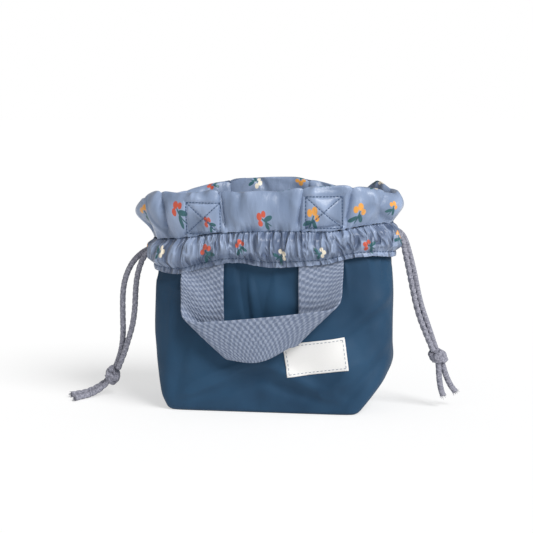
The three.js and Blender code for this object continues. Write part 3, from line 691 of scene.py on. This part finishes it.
# Creases that run up the frill: where they stand along x, how wide and how deep they are
CREASES = {
    FRONT: [(-86, 2.6, 6.4), (-31, 2.4, 6.4), (36, 2.4, 5.4), (77, 2.6, 6.4), (103, 3.0, 3.4),
            (-106, 3.2, 3.4)],
    BACK: [(-40, 3.2, 3.0), (28, 3.0, 3.0), (78, 3.4, 2.6), (-78, 3.2, 2.4), (104, 3.2, 2.4),
           (-104, 3.4, 2.0)],
}


def along_x(t, xs, table, face):
    """A smooth curve through the face's values, read at t's x near the waist; the faces meet at the seams"""
    fine = np.linspace(-125, 125, 501)
    x = sample(PLAN_X, t, np.full_like(t, 170.0))
    own, other = (
        np.interp(x, fine, blurred(fine, xs, table[way], EDGE_BLUR, EDGE_BLUR_REACH)) for way in (face, -face)
    )
    return mix((own + other) / 2, own, seam_fade(t, 0.08))


def gather(t, v, face):
    """Upright folds, from 0 to 1.3, where the cords draw the cloth in: round puffs and sharp ridges"""
    s = arc_of(t) + 60
    seed = 51 if face == FRONT else 57
    lean = 5 * lattice(s / 30, v * 0 + 2, seed)
    puffs = billow((s + lean * v) / 9, v * 0.9, seed + 1)
    ridges = 1 - billow((s - 0.7 * lean * v) / 6.5, v * 1.2 + 4, seed + 2)
    fine = billow((s + 0.5 * lean * v) / 3.4, v * 1.5 + 9, seed + 3)
    return np.clip(0.55 * puffs + 0.4 * ridges + 0.22 * fine, 0, 1.3)


def build_casing(face):
    t, v = grid(520, 56)
    z = mix(along_x(t, HEM_X, HEM_Z, face), along_x(t, HEM_X, WAIST_Z, face) + 0.4, v)
    weights = ((0, 0.5), (-0.04, 0.25), (0.04, 0.25))
    out = sum(weight * np.interp(v + d, CASING_RUN_SHARES, CASING_OUT) for d, weight in weights)
    strength = np.interp(sample(PLAN_X, t, np.full_like(t, 150.0)), DRAW_X, DRAW)
    folds = gather(t, v, face) - 0.4
    relief = folds * mix(1.2, 4.6, smooth((v - 0.1) / 0.3)) * strength
    relief = relief * mix(1, 0.5, smooth((v - 0.8) / 0.2)) * seam_fade(t, 0.05)
    stitched = np.exp(-(((v - 0.15) / 0.035) ** 2)) * 0.7
    points = skin(face, t, z, out)
    points[..., 2] += 1.2 * folds * (1 - smooth(v / 0.5)) * strength
    points = emboss(points, face, relief - stitched)
    uv = np.stack([arc_of(t) * 1.3, v * 31], -1)
    side = SIDE[face]
    names = (f"casing_{side}", f"casing_left_{side}_end", f"casing_right_{side}_end")
    piece = grid_object(f"{side}_casing_cloth", points, uv, "band", names, SATIN_THICK, face == BACK)
    # The darker satin copy paints the casing's shade
    piece.data.materials[0] = materials["gathered"]
    follow_wall(piece)
    return points


BOX_HALF = 15.2
BOX_HEIGHT = 27
# Middle and lowest height of the left and the right box, as its own face is looked at
BOXES = [(-48.3, 155.6), (56, 161.6)]


def box_press(x, z, face):
    """How far a box stitch pulls the frill in: deepest on its lines, and evenly inside"""
    pull = np.zeros_like(x)
    for middle, low in BOXES:
        u = (-face * x - middle) / BOX_HALF
        w = (z - low - BOX_HEIGHT / 2) / (BOX_HEIGHT / 2)
        edge = np.maximum(np.abs(u), np.abs(w))
        inside = 1 - smooth((edge - 0.95) / 0.35)
        line = np.minimum(np.abs(np.abs(u) - np.abs(w)), np.abs(edge - 1))
        groove = np.exp(-((line / 0.09) ** 2)) * (edge < 1.15)
        pull = np.maximum(pull, inside * 1.1 + groove * 0.8)
    return pull


def build_frill(face):
    t, k = grid(520, 100)
    position = k * (len(FRILL_SHARES) - 1)
    index = np.arange(len(FRILL_SHARES))
    share, out = (
        sum(np.interp(position + d, index, values) for d in (-0.35, 0, 0.35)) / 3
        for values in (FRILL_SHARES, FRILL_OUT)
    )
    out = out + TIP_OUT * smooth((-0.8 - t) / 0.2) * np.exp(-(((share - 0.62) / 0.25) ** 2)) * (position < 6)
    top = along_x(t, TOP_X, TOP_Z, face)
    waist = along_x(t, HEM_X, WAIST_Z, face) + 0.4
    z = waist + share * (top - waist)
    points = skin(face, t, z, out)
    x = points[..., 0]
    rise = np.clip(share, 0, 1)
    near_waist = 1 - smooth(rise / 0.3)
    relief = (gather(t, 0 * t + 1, face) - 0.45) * (2.4 * near_waist) * np.where(position > 6.4, 0.5, 1)
    seed = 71 if face == FRONT else 77
    s = arc_of(t)
    relief = relief + 1.8 * lattice(s / 34 + 2, rise * 0.8, seed) * smooth(rise / 0.3)
    relief = relief + 0.5 * lattice(s / 14 + 5 + rise, rise * 2.2, seed + 1)
    for cx, width, depth in CREASES[face]:
        lean = cx + 5 * (rise - 0.5) * copysign(1, cx)
        depth = depth * smooth(rise / 0.25) * (1 - CREASE_FADE_SHARE * smooth((rise - 0.7) / 0.28))
        relief = relief - depth * np.exp(-np.abs(x - lean) / width)
    relief = relief - np.where(position < 5.5, box_press(x, z, face), 0)
    points = emboss(points, face, relief * seam_fade(t, 0.05))
    uv = np.stack([s * 1.25, 33 + k * 84], -1)
    side = SIDE[face]
    names = (f"frill_{side}", f"frill_{END[face]}_end")
    piece = grid_object(f"{side}_frill_cloth", points, uv, "band", names, SATIN_THICK, face == BACK)
    follow_wall(piece)
    return points


# Thread: width, height and length of a stitch, and the gap to the next

BOX_THREAD = (0.9, 0.8, 2.3, 0.5)
SEAM_THREAD = (0.75, 0.6, 2.4, 0.7)
LABEL_THREAD = (0.45, 0.35, 2.2, 1.1)


def dashes(name, runs, stitch, node):
    """Rounded stitches laid end to end along runs of (points, outward normals)"""
    rings, sides = 5, 6
    width, height, dash, gap = stitch
    profile = [(cos(a), sin(a)) for a in np.linspace(0, pi, rings)]
    points, faces, uvs = [], [], []
    for line, out in runs:
        arc = arc_lengths(line)
        count = max(1, int((arc[-1] + gap) / (dash + gap)))
        pitch = (arc[-1] + gap) / count
        for i in range(count):
            ends = np.array([i * pitch, i * pitch + pitch - gap])
            a, b = read_along(ends, arc, line)
            up = read_along(ends.mean(), arc, out)
            along = b - a
            length = np.linalg.norm(along)
            along = along / max(length, 1e-9)
            across = np.cross(up, along)
            faces += tube_faces(rings, sides, len(points))
            for c, s in profile:
                for side in range(sides):
                    turn = 2 * pi * side / sides
                    ring = across * cos(turn) * width / 2 + up * sin(turn) * height / 2
                    points.append((a + b) / 2 + along * c * length / 2 + ring * max(s, 0.15))
                    uvs.append((i * pitch + c * length / 2, turn))
    return mesh_object(name, points, faces, uvs, "thread", (node,))


def nearest_run(points, face, wanted, lift):
    """A line through the wanted (x, z) at the depth of the nearest grid points, and the normals there"""
    flat, out = points.reshape(-1, 3), normals(points, face).reshape(-1, 3)
    nearest = [np.argmin((flat[:, 0] - x) ** 2 + (flat[:, 2] - z) ** 2) for x, z in wanted]
    line = flat[nearest] + out[nearest] * lift
    line[:, [0, 2]] = wanted
    return line, out[nearest]


def build_box_stitches(frill, face):
    outer = frill[:FRILL_OUTER_ROWS]
    for middle, low in BOXES:
        middle = -face * middle
        near, far, high = middle - BOX_HALF, middle + BOX_HALF, low + BOX_HEIGHT
        corners = [(near, low), (far, low), (far, high), (near, high)]
        runs = []
        for a, b in ((0, 1), (1, 2), (2, 3), (3, 0), (0, 2), (1, 3)):
            wanted = mix(np.array(corners[a]), np.array(corners[b]), np.linspace(0, 1, 34)[:, None])
            runs.append(nearest_run(outer, face, wanted, 0.25))
        box = f"{SIDE[face]}_{'left' if middle < 0 else 'right'}_box"
        follow_wall(dashes(f"{box}_thread", runs, BOX_THREAD, f"{box}_stitch"))


def build_seam_threads(casing, face):
    out = normals(casing, face)
    for word, row, node in (("waist", -2, "casing_seam_stitch"), ("hem", 8, "hem_stitch")):
        runs = [(casing[row] + out[row] * 0.2, out[row])]
        side = SIDE[face]
        follow_wall(dashes(f"{side}_{word}_thread", runs, SEAM_THREAD, f"{node}_{side}"))


# Tubes and cords


def catmull(route, step):
    """Evenly spaced points on a smooth curve through a route, and its length"""
    p = np.asarray(route, float)
    p = np.vstack([2 * p[0] - p[1], p, 2 * p[-1] - p[-2]])
    share = np.linspace(0, 1, 25)[:-1, None]
    found = []
    for a, b, c, d in zip(p[:-3], p[1:-2], p[2:-1], p[3:]):
        found.append(0.5 * (2 * b + (c - a) * share + (2 * a - 5 * b + 4 * c - d) * share**2
                            + (3 * b - a - 3 * c + d) * share**3))
    line = np.vstack(found + [p[-2][None]])
    arc = arc_lengths(line)
    count = max(3, int(round(arc[-1] / step)))
    return read_along(np.linspace(0, arc[-1], count + 1), arc, line), arc[-1]


def frames_along(line):
    """Two directions across a line at each of its points, carried along it without twist"""
    ahead = np.gradient(line, axis=0)
    ahead = ahead / np.linalg.norm(ahead, axis=1, keepdims=True)
    side = np.cross(ahead[0], [0.3, 0.9, 0.2])
    sides = []
    for direction in ahead:
        side = side - direction * (side @ direction)
        side = side / np.linalg.norm(side)
        sides.append(side)
    sides = np.array(sides)
    return sides, np.cross(ahead, sides)


def tube(line, turn, radius, run, round_run):
    """Points, faces and uvs of a tube along a line, with its radius at each ring and side"""
    sides, others = frames_along(line)
    points = line[:, None] + sides[:, None] * (np.cos(turn) * radius)[..., None]
    points = points + others[:, None] * (np.sin(turn) * radius)[..., None]
    uv = np.stack(np.broadcast_arrays(run[:, None], round_run), -1)
    return points.reshape(-1, 3), tube_faces(len(line), turn.shape[1]), uv.reshape(-1, 2)


def ring_turns(count):
    return np.linspace(0, 2 * pi, count, endpoint=False)[None, :]


def thin_tube(line, diameter):
    turn = ring_turns(5)
    radius = np.linspace(diameter / 2, diameter / 5, len(line))[:, None]
    return tube(line, turn, radius, np.arange(len(line)) * 1.0, turn)


def braid(line, diameter, taper=None):
    """A tube with the raised strands of a braided cord"""
    run = np.arange(len(line)) * np.linalg.norm(line[1] - line[0])
    turn = ring_turns(CORD_SIDES)
    phase = (2 * pi / BRAID_PITCH * run)[:, None]
    lumps = np.maximum(np.cos(BRAID_STRANDS * turn + phase), np.cos(BRAID_STRANDS * turn - phase))
    radius = diameter / 2 * (1 + BRAID_RELIEF_SHARE * (lumps - 0.6))
    if taper is not None:
        radius = radius * taper[:, None]
    return tube(line, turn, radius, run, turn * diameter / 2)


def cord_tube(name, node):
    line, length = catmull(ROUTES[node], CORD_STEP)
    return mesh_object(name, *braid(line, CORD_DIAMETER), "cord", (node,)), line, length


# The free cords' routes, as in the construction
ROUTES = {
    "left_cord_front_strand": [
        (-99.3, -9.2, 138.4), (-101.7, -6.9, 138), (-104.8, -5.1, 136.9), (-108, -4.3, 134.4),
        (-111.4, -4.1, 130.4), (-114.4, -4, 125), (-116.9, -4, 118.2), (-118.8, -4, 110.4), (-120, -4, 102),
        (-120.7, -4, 93.4), (-121.3, -4, 84.6), (-122.4, -3.8, 76), (-124, -3.4, 67.8), (-126.3, -2.9, 60),
        (-129.4, -2.2, 51), (-132.4, -1.4, 42.4), (-136, -0.4, 34), (-139.6, 0.8, 26),
    ],
    "left_cord_back_strand": [
        (-99.1, 9.2, 138.6), (-101.2, 6.9, 138.4), (-104.6, 5.3, 137.6), (-109, 4.8, 136),
        (-114.2, 4.7, 133.2), (-119.6, 4.6, 129), (-124.8, 4.5, 123.2), (-129, 4.4, 115.8),
        (-132.2, 4.3, 107.2), (-134, 4.2, 98), (-134.7, 4.1, 88.6), (-134.9, 4.1, 79.2), (-135, 4.2, 70.2),
        (-135.1, 4.5, 61.4), (-135.9, 4.9, 51.6), (-137.6, 5.5, 42.6), (-140.4, 6.1, 34), (-143.7, 6.7, 26.2),
    ],
    "left_cord_front_tail": [
        (-148.8, 3, 14.6), (-153.8, 1.4, 9.4), (-158, -1.4, 6), (-162.4, -5.6, 3.8), (-166.6, -10.8, 2.9),
        (-170.4, -16.6, 2.8), (-173.8, -22.8, 2.8),
    ],
    "left_cord_back_tail": [
        (-149.6, 8.6, 15.8), (-155.2, 8.8, 11.2), (-160.6, 7.8, 7.6), (-166.2, 5.4, 4.8), (-171.6, 1.8, 3.1),
        (-176.6, -2.8, 2.8), (-181, -8.2, 2.8),
    ],
    "right_cord_front_strand": [
        (106.1, -9.2, 155.3), (108.5, -7.4, 155.8), (112.3, -6.4, 155.4), (115.9, -5.9, 153),
        (118.5, -5.6, 148.4), (120.3, -5.3, 141.4), (122.1, -5, 132.8), (124.1, -4.7, 123.4),
        (126.1, -4.4, 113.4), (128.1, -4.1, 103.2), (130.1, -3.9, 93.8), (132.3, -3.7, 85.2),
        (134.9, -3.5, 77.2), (137.7, -3.3, 69.8), (140.5, -3.2, 63), (143.1, -3.1, 56.8), (145.9, -2.8, 50.2),
    ],
    "right_cord_back_strand": [
        (106.1, 9.2, 155.3), (108.3, 7.2, 155.5), (111.7, 5.9, 155.2), (115.5, 5.3, 153.4),
        (118.9, 5, 149.6), (121.5, 4.6, 143.8), (123.7, 4.2, 136.6), (125.9, 3.8, 128.4), (128.1, 3.5, 119.4),
        (130.1, 3.2, 109.8), (132.1, 3, 100), (134.3, 2.8, 91.2), (136.9, 2.7, 82.8), (139.7, 2.6, 74.8),
        (142.3, 2.6, 67.2), (144.7, 2.6, 60), (147.7, 2.7, 51.2),
    ],
    "right_cord_front_tail": [
        (150.3, -2.8, 40.8), (150.7, -2.9, 34.4), (151.1, -2.8, 28.2), (151.7, -2.4, 22.2),
        (152.7, -1.6, 16.4), (154.3, -0.4, 10.8),
    ],
    "right_cord_back_tail": [
        (152.7, 2.7, 41), (154.5, 3, 34.6), (156.3, 3.4, 28.8), (158.5, 4, 23.2), (161.3, 4.8, 17.8),
        (164.7, 5.8, 13),
    ],
}
KNOT_CENTRES = {"left": (-145.6, 5, 19.4), "right": (149.5, 0, 46)}
KNOT_AXES = {"left": (-0.72, 0.2, -0.66), "right": (0.34, 0, -0.94)}
KNOT_RADIUS = 4.9
KNOT_CORD = 5.6
KNOT_CORE = 8.6
# Where each turn of a knot starts, how far it goes round, how much it rises and how it tilts
KNOT_TURNS = ((0.3, 1.05, 5.0, 0.35), (2.4, 1.0, 4.2, -0.45), (4.2, 0.55, 8.5, 1.05))


def axes_across(axis):
    w = np.array(axis, float)
    w = w / np.linalg.norm(w)
    u = np.cross(w, [0, 1, 0.2])
    u = u / np.linalg.norm(u)
    return u, np.cross(w, u), w


def join_parts(parts):
    points, faces, uvs = [], [], []
    for part_points, part_faces, part_uv in parts:
        start = len(points)
        points += list(part_points)
        faces += [tuple(i + start for i in face) for face in part_faces]
        uvs += list(part_uv)
    return points, faces, uvs


def build_knot(name):
    """An overhand knot in the doubled cord, shown as turns of cord round a core"""
    u, v, w = axes_across(KNOT_AXES[name])
    centre = np.array(KNOT_CENTRES[name], float)
    parts = []
    for start_turn, turns, rise, tilt in KNOT_TURNS:
        route = []
        for share in np.linspace(0, 1, 15):
            turn = start_turn + 2 * pi * turns * share
            low = rise * (share - 0.5) + KNOT_RADIUS * sin(turn - start_turn) * tilt
            route.append(centre + (u * cos(turn) + v * sin(turn)) * KNOT_RADIUS + w * low)
        line, _ = catmull(route, CORD_STEP)
        parts.append(braid(line, KNOT_CORD))
    core = centre + w * np.linspace(-5.5, 5.5, 14)[:, None]
    parts.append(braid(core, KNOT_CORE, taper=np.linspace(0.9, 1, 14)))
    return mesh_object(f"{name}_knot", *join_parts(parts), "cord", (f"{name}_cord_knot",))


FIBRES = 30
FIBRE_DIAMETER = 0.42
FIBRE_LOWEST = 0.5


def frayed_end(name, line, seed):
    """Loose fibres where a tail was cut"""
    random = np.random.default_rng(seed)
    tip, ahead = line[-1], line[-1] - line[-4]
    u, v, w = axes_across(ahead)
    parts = []
    for _ in range(FIBRES):
        turn, spread = random.uniform(0, 2 * pi), random.uniform(0.2, 2.3)
        out = u * cos(turn) + v * sin(turn)
        base = tip - w * 1.2 + out * spread
        reach = random.uniform(1.5, 4.0)
        bend = base + w * reach * 0.5 + out * random.uniform(0.1, 0.8)
        end = base + w * reach + out * random.uniform(0.4, 2.0)
        for point in (bend, end):
            point[2] = max(point[2], FIBRE_LOWEST)
        fibre, _ = catmull([base, bend, end], 1.2)
        parts.append(thin_tube(fibre, FIBRE_DIAMETER))
    return mesh_object(name, *join_parts(parts), "cord")


def build_cords():
    for index, (name, sign) in enumerate((("left", -1), ("right", 1))):
        body = f"{name}_cord"
        lump = build_knot(name)
        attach(lump, body)
        for way in ("front", "back"):
            node = f"{name}_cord_{way}_strand"
            piece, line, length = cord_tube(f"{name}_{way}_strand", node)
            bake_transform(piece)
            node = f"{name}_cord_{way}_tail"
            tail, line, length = cord_tube(f"{name}_{way}_tail", node)
            fray = frayed_end(f"{name}_{way}_fray", line, 90 + 2 * index + (way == "back"))
            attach(fray, body)
            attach(tail, body)


RUN_OUT = 4.7
# Height of each run as a share of the casing, at the left end, along the faces and at the right end
RUN_SHARES = {"left": [0.54, 0.36, 0.36, 0.36], "right": [0.745, 0.66, 0.66, 0.73]}


def build_runs():
    """The cords' hidden runs inside the casing"""
    for name, shares in RUN_SHARES.items():
        for face in (FRONT, BACK):
            t = np.linspace(-0.985, 0.985, 60)
            low, high = along_x(t, HEM_X, HEM_Z, face), along_x(t, HEM_X, WAIST_Z, face)
            route = skin(face, t, mix(low, high, np.interp(t, [-1, -0.7, 0.7, 1], shares)), RUN_OUT)
            line, _ = catmull(route, 4)
            cord = f"{name}_cord_{SIDE[face]}"
            piece = mesh_object(f"{cord}_inner", *braid(line, CORD_DIAMETER), "cord", (f"{cord}_run",))
            follow_wall(piece)


# Webbing handles: legs that hang from under the band, and a run folded across them

WEB_WIDTH = 38
WEB_THICK = 1.6
HINGE_HEIGHT = 126.4
LEG_PLANE = 49.9
FOLD_RADIUS = (6.2, 3.0)
LEG_TOP = 141
# How far the run's upper and lower edges sag between the folds
RUN_SAGS = (1.0, 6.5)
RUN_BELLY = 2.0
HANDLE_COLUMNS = 15
# Cross lines of a leg, of a fold and of the run between the folds
LEG_LINES = 26
FOLD_LINES = 17
RUN_LINES = 22
# Height at which each fold's line passes the leg's middle, and the slope of the line, in degrees
FOLDS = {"left": (77, 48), "right": (89, 48)}


def leg_depth(x, z):
    """Distance of a leg from the bag's middle: close under the band, then hanging free of the body"""
    above = skin(FRONT, np.array([t_at(x, z)]), np.array([z]), np.array([1.9]))[0, 1]
    return mix(LEG_PLANE, -above, smooth((z - HINGE_HEIGHT + 14) / 18))


def fold_lines(name, sign):
    """Cross lines of the webbing from the top of a leg to the start of the run, as pairs of edge points"""
    middle = sign * HANDLE_SPACING / 2 + HANDLE_OFFSET
    height, slope = FOLDS[name]
    angle = radians(slope)
    edges = [middle + sign * WEB_WIDTH / 2, middle - sign * WEB_WIDTH / 2]
    fold_heights = [height + (x - middle) * sign * tan(angle) for x in edges]
    lines = []
    for share in np.linspace(0, 1, LEG_LINES):
        heights = [mix(LEG_TOP, fold_height, share) for fold_height in fold_heights]
        lines.append([np.array([x, -leg_depth(x, z), z]) for x, z in zip(edges, heights)])
    # Round the fold: the webbing turns about the line of the fold, and its cross lines slide along it
    along = np.array([-sign * cos(angle), 0, -sin(angle)])
    across = np.array([sign * sin(angle), 0, -cos(angle)])
    for share in np.linspace(0, 1, FOLD_LINES)[1:]:
        turn = pi * share
        line = []
        for x, fold_height, radius in zip(edges, fold_heights, FOLD_RADIUS):
            shift = along * radius * tan(angle) * turn + across * radius * sin(turn)
            shift = shift + np.array([0, -1, 0]) * radius * (1 - cos(turn))
            line.append(np.array([x, -LEG_PLANE, fold_height]) + shift)
        lines.append(line)
    return lines


def handle_lines():
    """Cross lines of the whole handle, as pairs of edge points"""
    left, right = fold_lines("left", -1), fold_lines("right", 1)[::-1]
    between = []
    for share in np.linspace(0, 1, RUN_LINES)[1:-1]:
        belly = sin(pi * share)
        between.append([mix(a, b, share) - np.array([0, RUN_BELLY, sag]) * belly
                        for a, b, sag in zip(left[-1], right[0], RUN_SAGS)])
    return left + between + right


def build_handle(face):
    points = np.array([[mix(a, b, s) for s in np.linspace(0, 1, HANDLE_COLUMNS)] for a, b in handle_lines()])
    arc = arc_lengths(points[:, HANDLE_COLUMNS // 2])
    width = np.linspace(-WEB_WIDTH / 2, WEB_WIDTH / 2, HANDLE_COLUMNS)
    uv = np.stack(np.broadcast_arrays(width[None, :], arc[:, None]), -1)
    curl = 0.7 * lattice(arc[:, None] / 26, width[None, :] / 22, 61)
    curl = curl * smooth(arc / 40)[:, None] * smooth((arc[-1] - arc) / 40)[:, None]
    points = emboss(points, FRONT, curl)
    if face == BACK:
        points = points * np.array([-1, -1, 1])
    side = SIDE[face]
    names = (f"{side}_handle_loop", f"{side}_handle_left_tab", f"{side}_handle_right_tab")
    piece = grid_object(f"{side}_webbing", points, uv, "webbing", names, WEB_THICK, offset=0)
    smoothing = piece.modifiers.new("smooth", "SUBSURF")
    smoothing.levels = smoothing.render_levels = 1
    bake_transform(piece)


# Label

LABEL_WIDTH = 53.5
LABEL_HEIGHT = 28.5
LABEL_CENTRE = (48.5, 50.5)
LABEL_TILT = radians(8)
LABEL_LIFT = 0.7
LABEL_WAVE = 0.25
STITCH_INSET = 2


def label_place(u, w):
    c, s = cos(LABEL_TILT), sin(LABEL_TILT)
    return LABEL_CENTRE[0] + u * c - w * s, LABEL_CENTRE[1] + u * s + w * c


def border(rows):
    """A grid's bottom, top, left and right lines, a little in from its edges"""
    i = STITCH_INSET
    return rows[i, i:-i], rows[-1 - i, i:-i], rows[i:-i, i], rows[i:-i, -1 - i]


def build_label():
    """The label, laid on the front shell's own points"""
    vertices = bpy.data.objects["front_shell_cloth"].data.vertices
    co = np.zeros(len(vertices) * 3)
    vertices.foreach_get("co", co)
    co = co.reshape(-1, 3) / MM
    u, w = np.meshgrid(np.linspace(-0.5, 0.5, 55) * LABEL_WIDTH, np.linspace(-0.5, 0.5, 29) * LABEL_HEIGHT)
    x, z = label_place(u, w)
    depth = np.zeros_like(x)
    for i in np.ndindex(x.shape):
        near = np.argpartition((co[:, 0] - x[i]) ** 2 + (co[:, 2] - z[i]) ** 2 + (co[:, 1] > 0) * 1e6, 6)[:6]
        depth[i] = co[near, 1].mean()
    for _ in range(6):
        depth[1:-1, 1:-1] = (depth[:-2, 1:-1] + depth[2:, 1:-1] + depth[1:-1, :-2] + depth[1:-1, 2:]) / 4
    lift = LABEL_LIFT + LABEL_WAVE * lattice(u / 14 + 3, w / 11 + 3, 83)
    points = np.stack([x, depth - lift, z], -1)
    piece = grid_object("label_cloth", points, np.stack([u, w], -1), "label", ("label",), THIN_CLOTH)
    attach(piece, "front_wall")
    runs = [(line + up * 0.1, up) for line, up in zip(border(points), border(normals(points, FRONT)))]
    thread = dashes("label_thread", runs, LABEL_THREAD, "label_stitch")
    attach(thread, "front_wall")


# Floor and light

FLOOR_HALF_SIZE = 6000
AMBIENT = 0.4
KEY_PLACE = (0.86, -0.66, 1.05)
KEY_STRENGTH = 3.0
KEY_SPREAD = 30


def build_stage():
    size = FLOOR_HALF_SIZE * MM
    corners = [(-size, -size, 0), (size, -size, 0), (size, size, 0), (-size, size, 0)]
    mesh = bpy.data.meshes.new("floor")
    mesh.from_pydata(corners, [], [(0, 1, 2, 3)])
    mesh.materials.append(floor_material())
    floor = new_object("floor", mesh)
    world = bpy.data.worlds.new("world")
    bpy.context.scene.world = world
    world.use_nodes = True
    nodes, links = world.node_tree.nodes, world.node_tree.links
    lit, white = nodes["Background"], nodes.new("ShaderNodeBackground")
    for background in (lit, white):
        background.inputs["Color"].default_value = (1, 1, 1, 1)
    lit.inputs["Strength"].default_value = AMBIENT
    choice, path = nodes.new("ShaderNodeMixShader"), nodes.new("ShaderNodeLightPath")
    sources = (path.outputs["Is Camera Ray"], lit.outputs[0], white.outputs[0])
    for source, socket in zip(sources, choice.inputs):
        links.new(source, socket)
    links.new(choice.outputs[0], nodes["World Output"].inputs["Surface"])
    lamp = bpy.data.lights.new("key", "SUN")
    lamp.energy = KEY_STRENGTH
    lamp.angle = radians(KEY_SPREAD)
    new_object("key", lamp, aim=-Vector(KEY_PLACE))


make_camera()
build_cords()
build_runs()
build_base()
for side_face in (FRONT, BACK):
    build_shell(side_face)
    build_lining(side_face)
    casing_points = build_casing(side_face)
    frill_points = build_frill(side_face)
    build_box_stitches(frill_points, side_face)
    build_seam_threads(casing_points, side_face)
    build_handle(side_face)
build_label()
build_stage()
bpy.context.scene.view_settings.view_transform = "Standard"
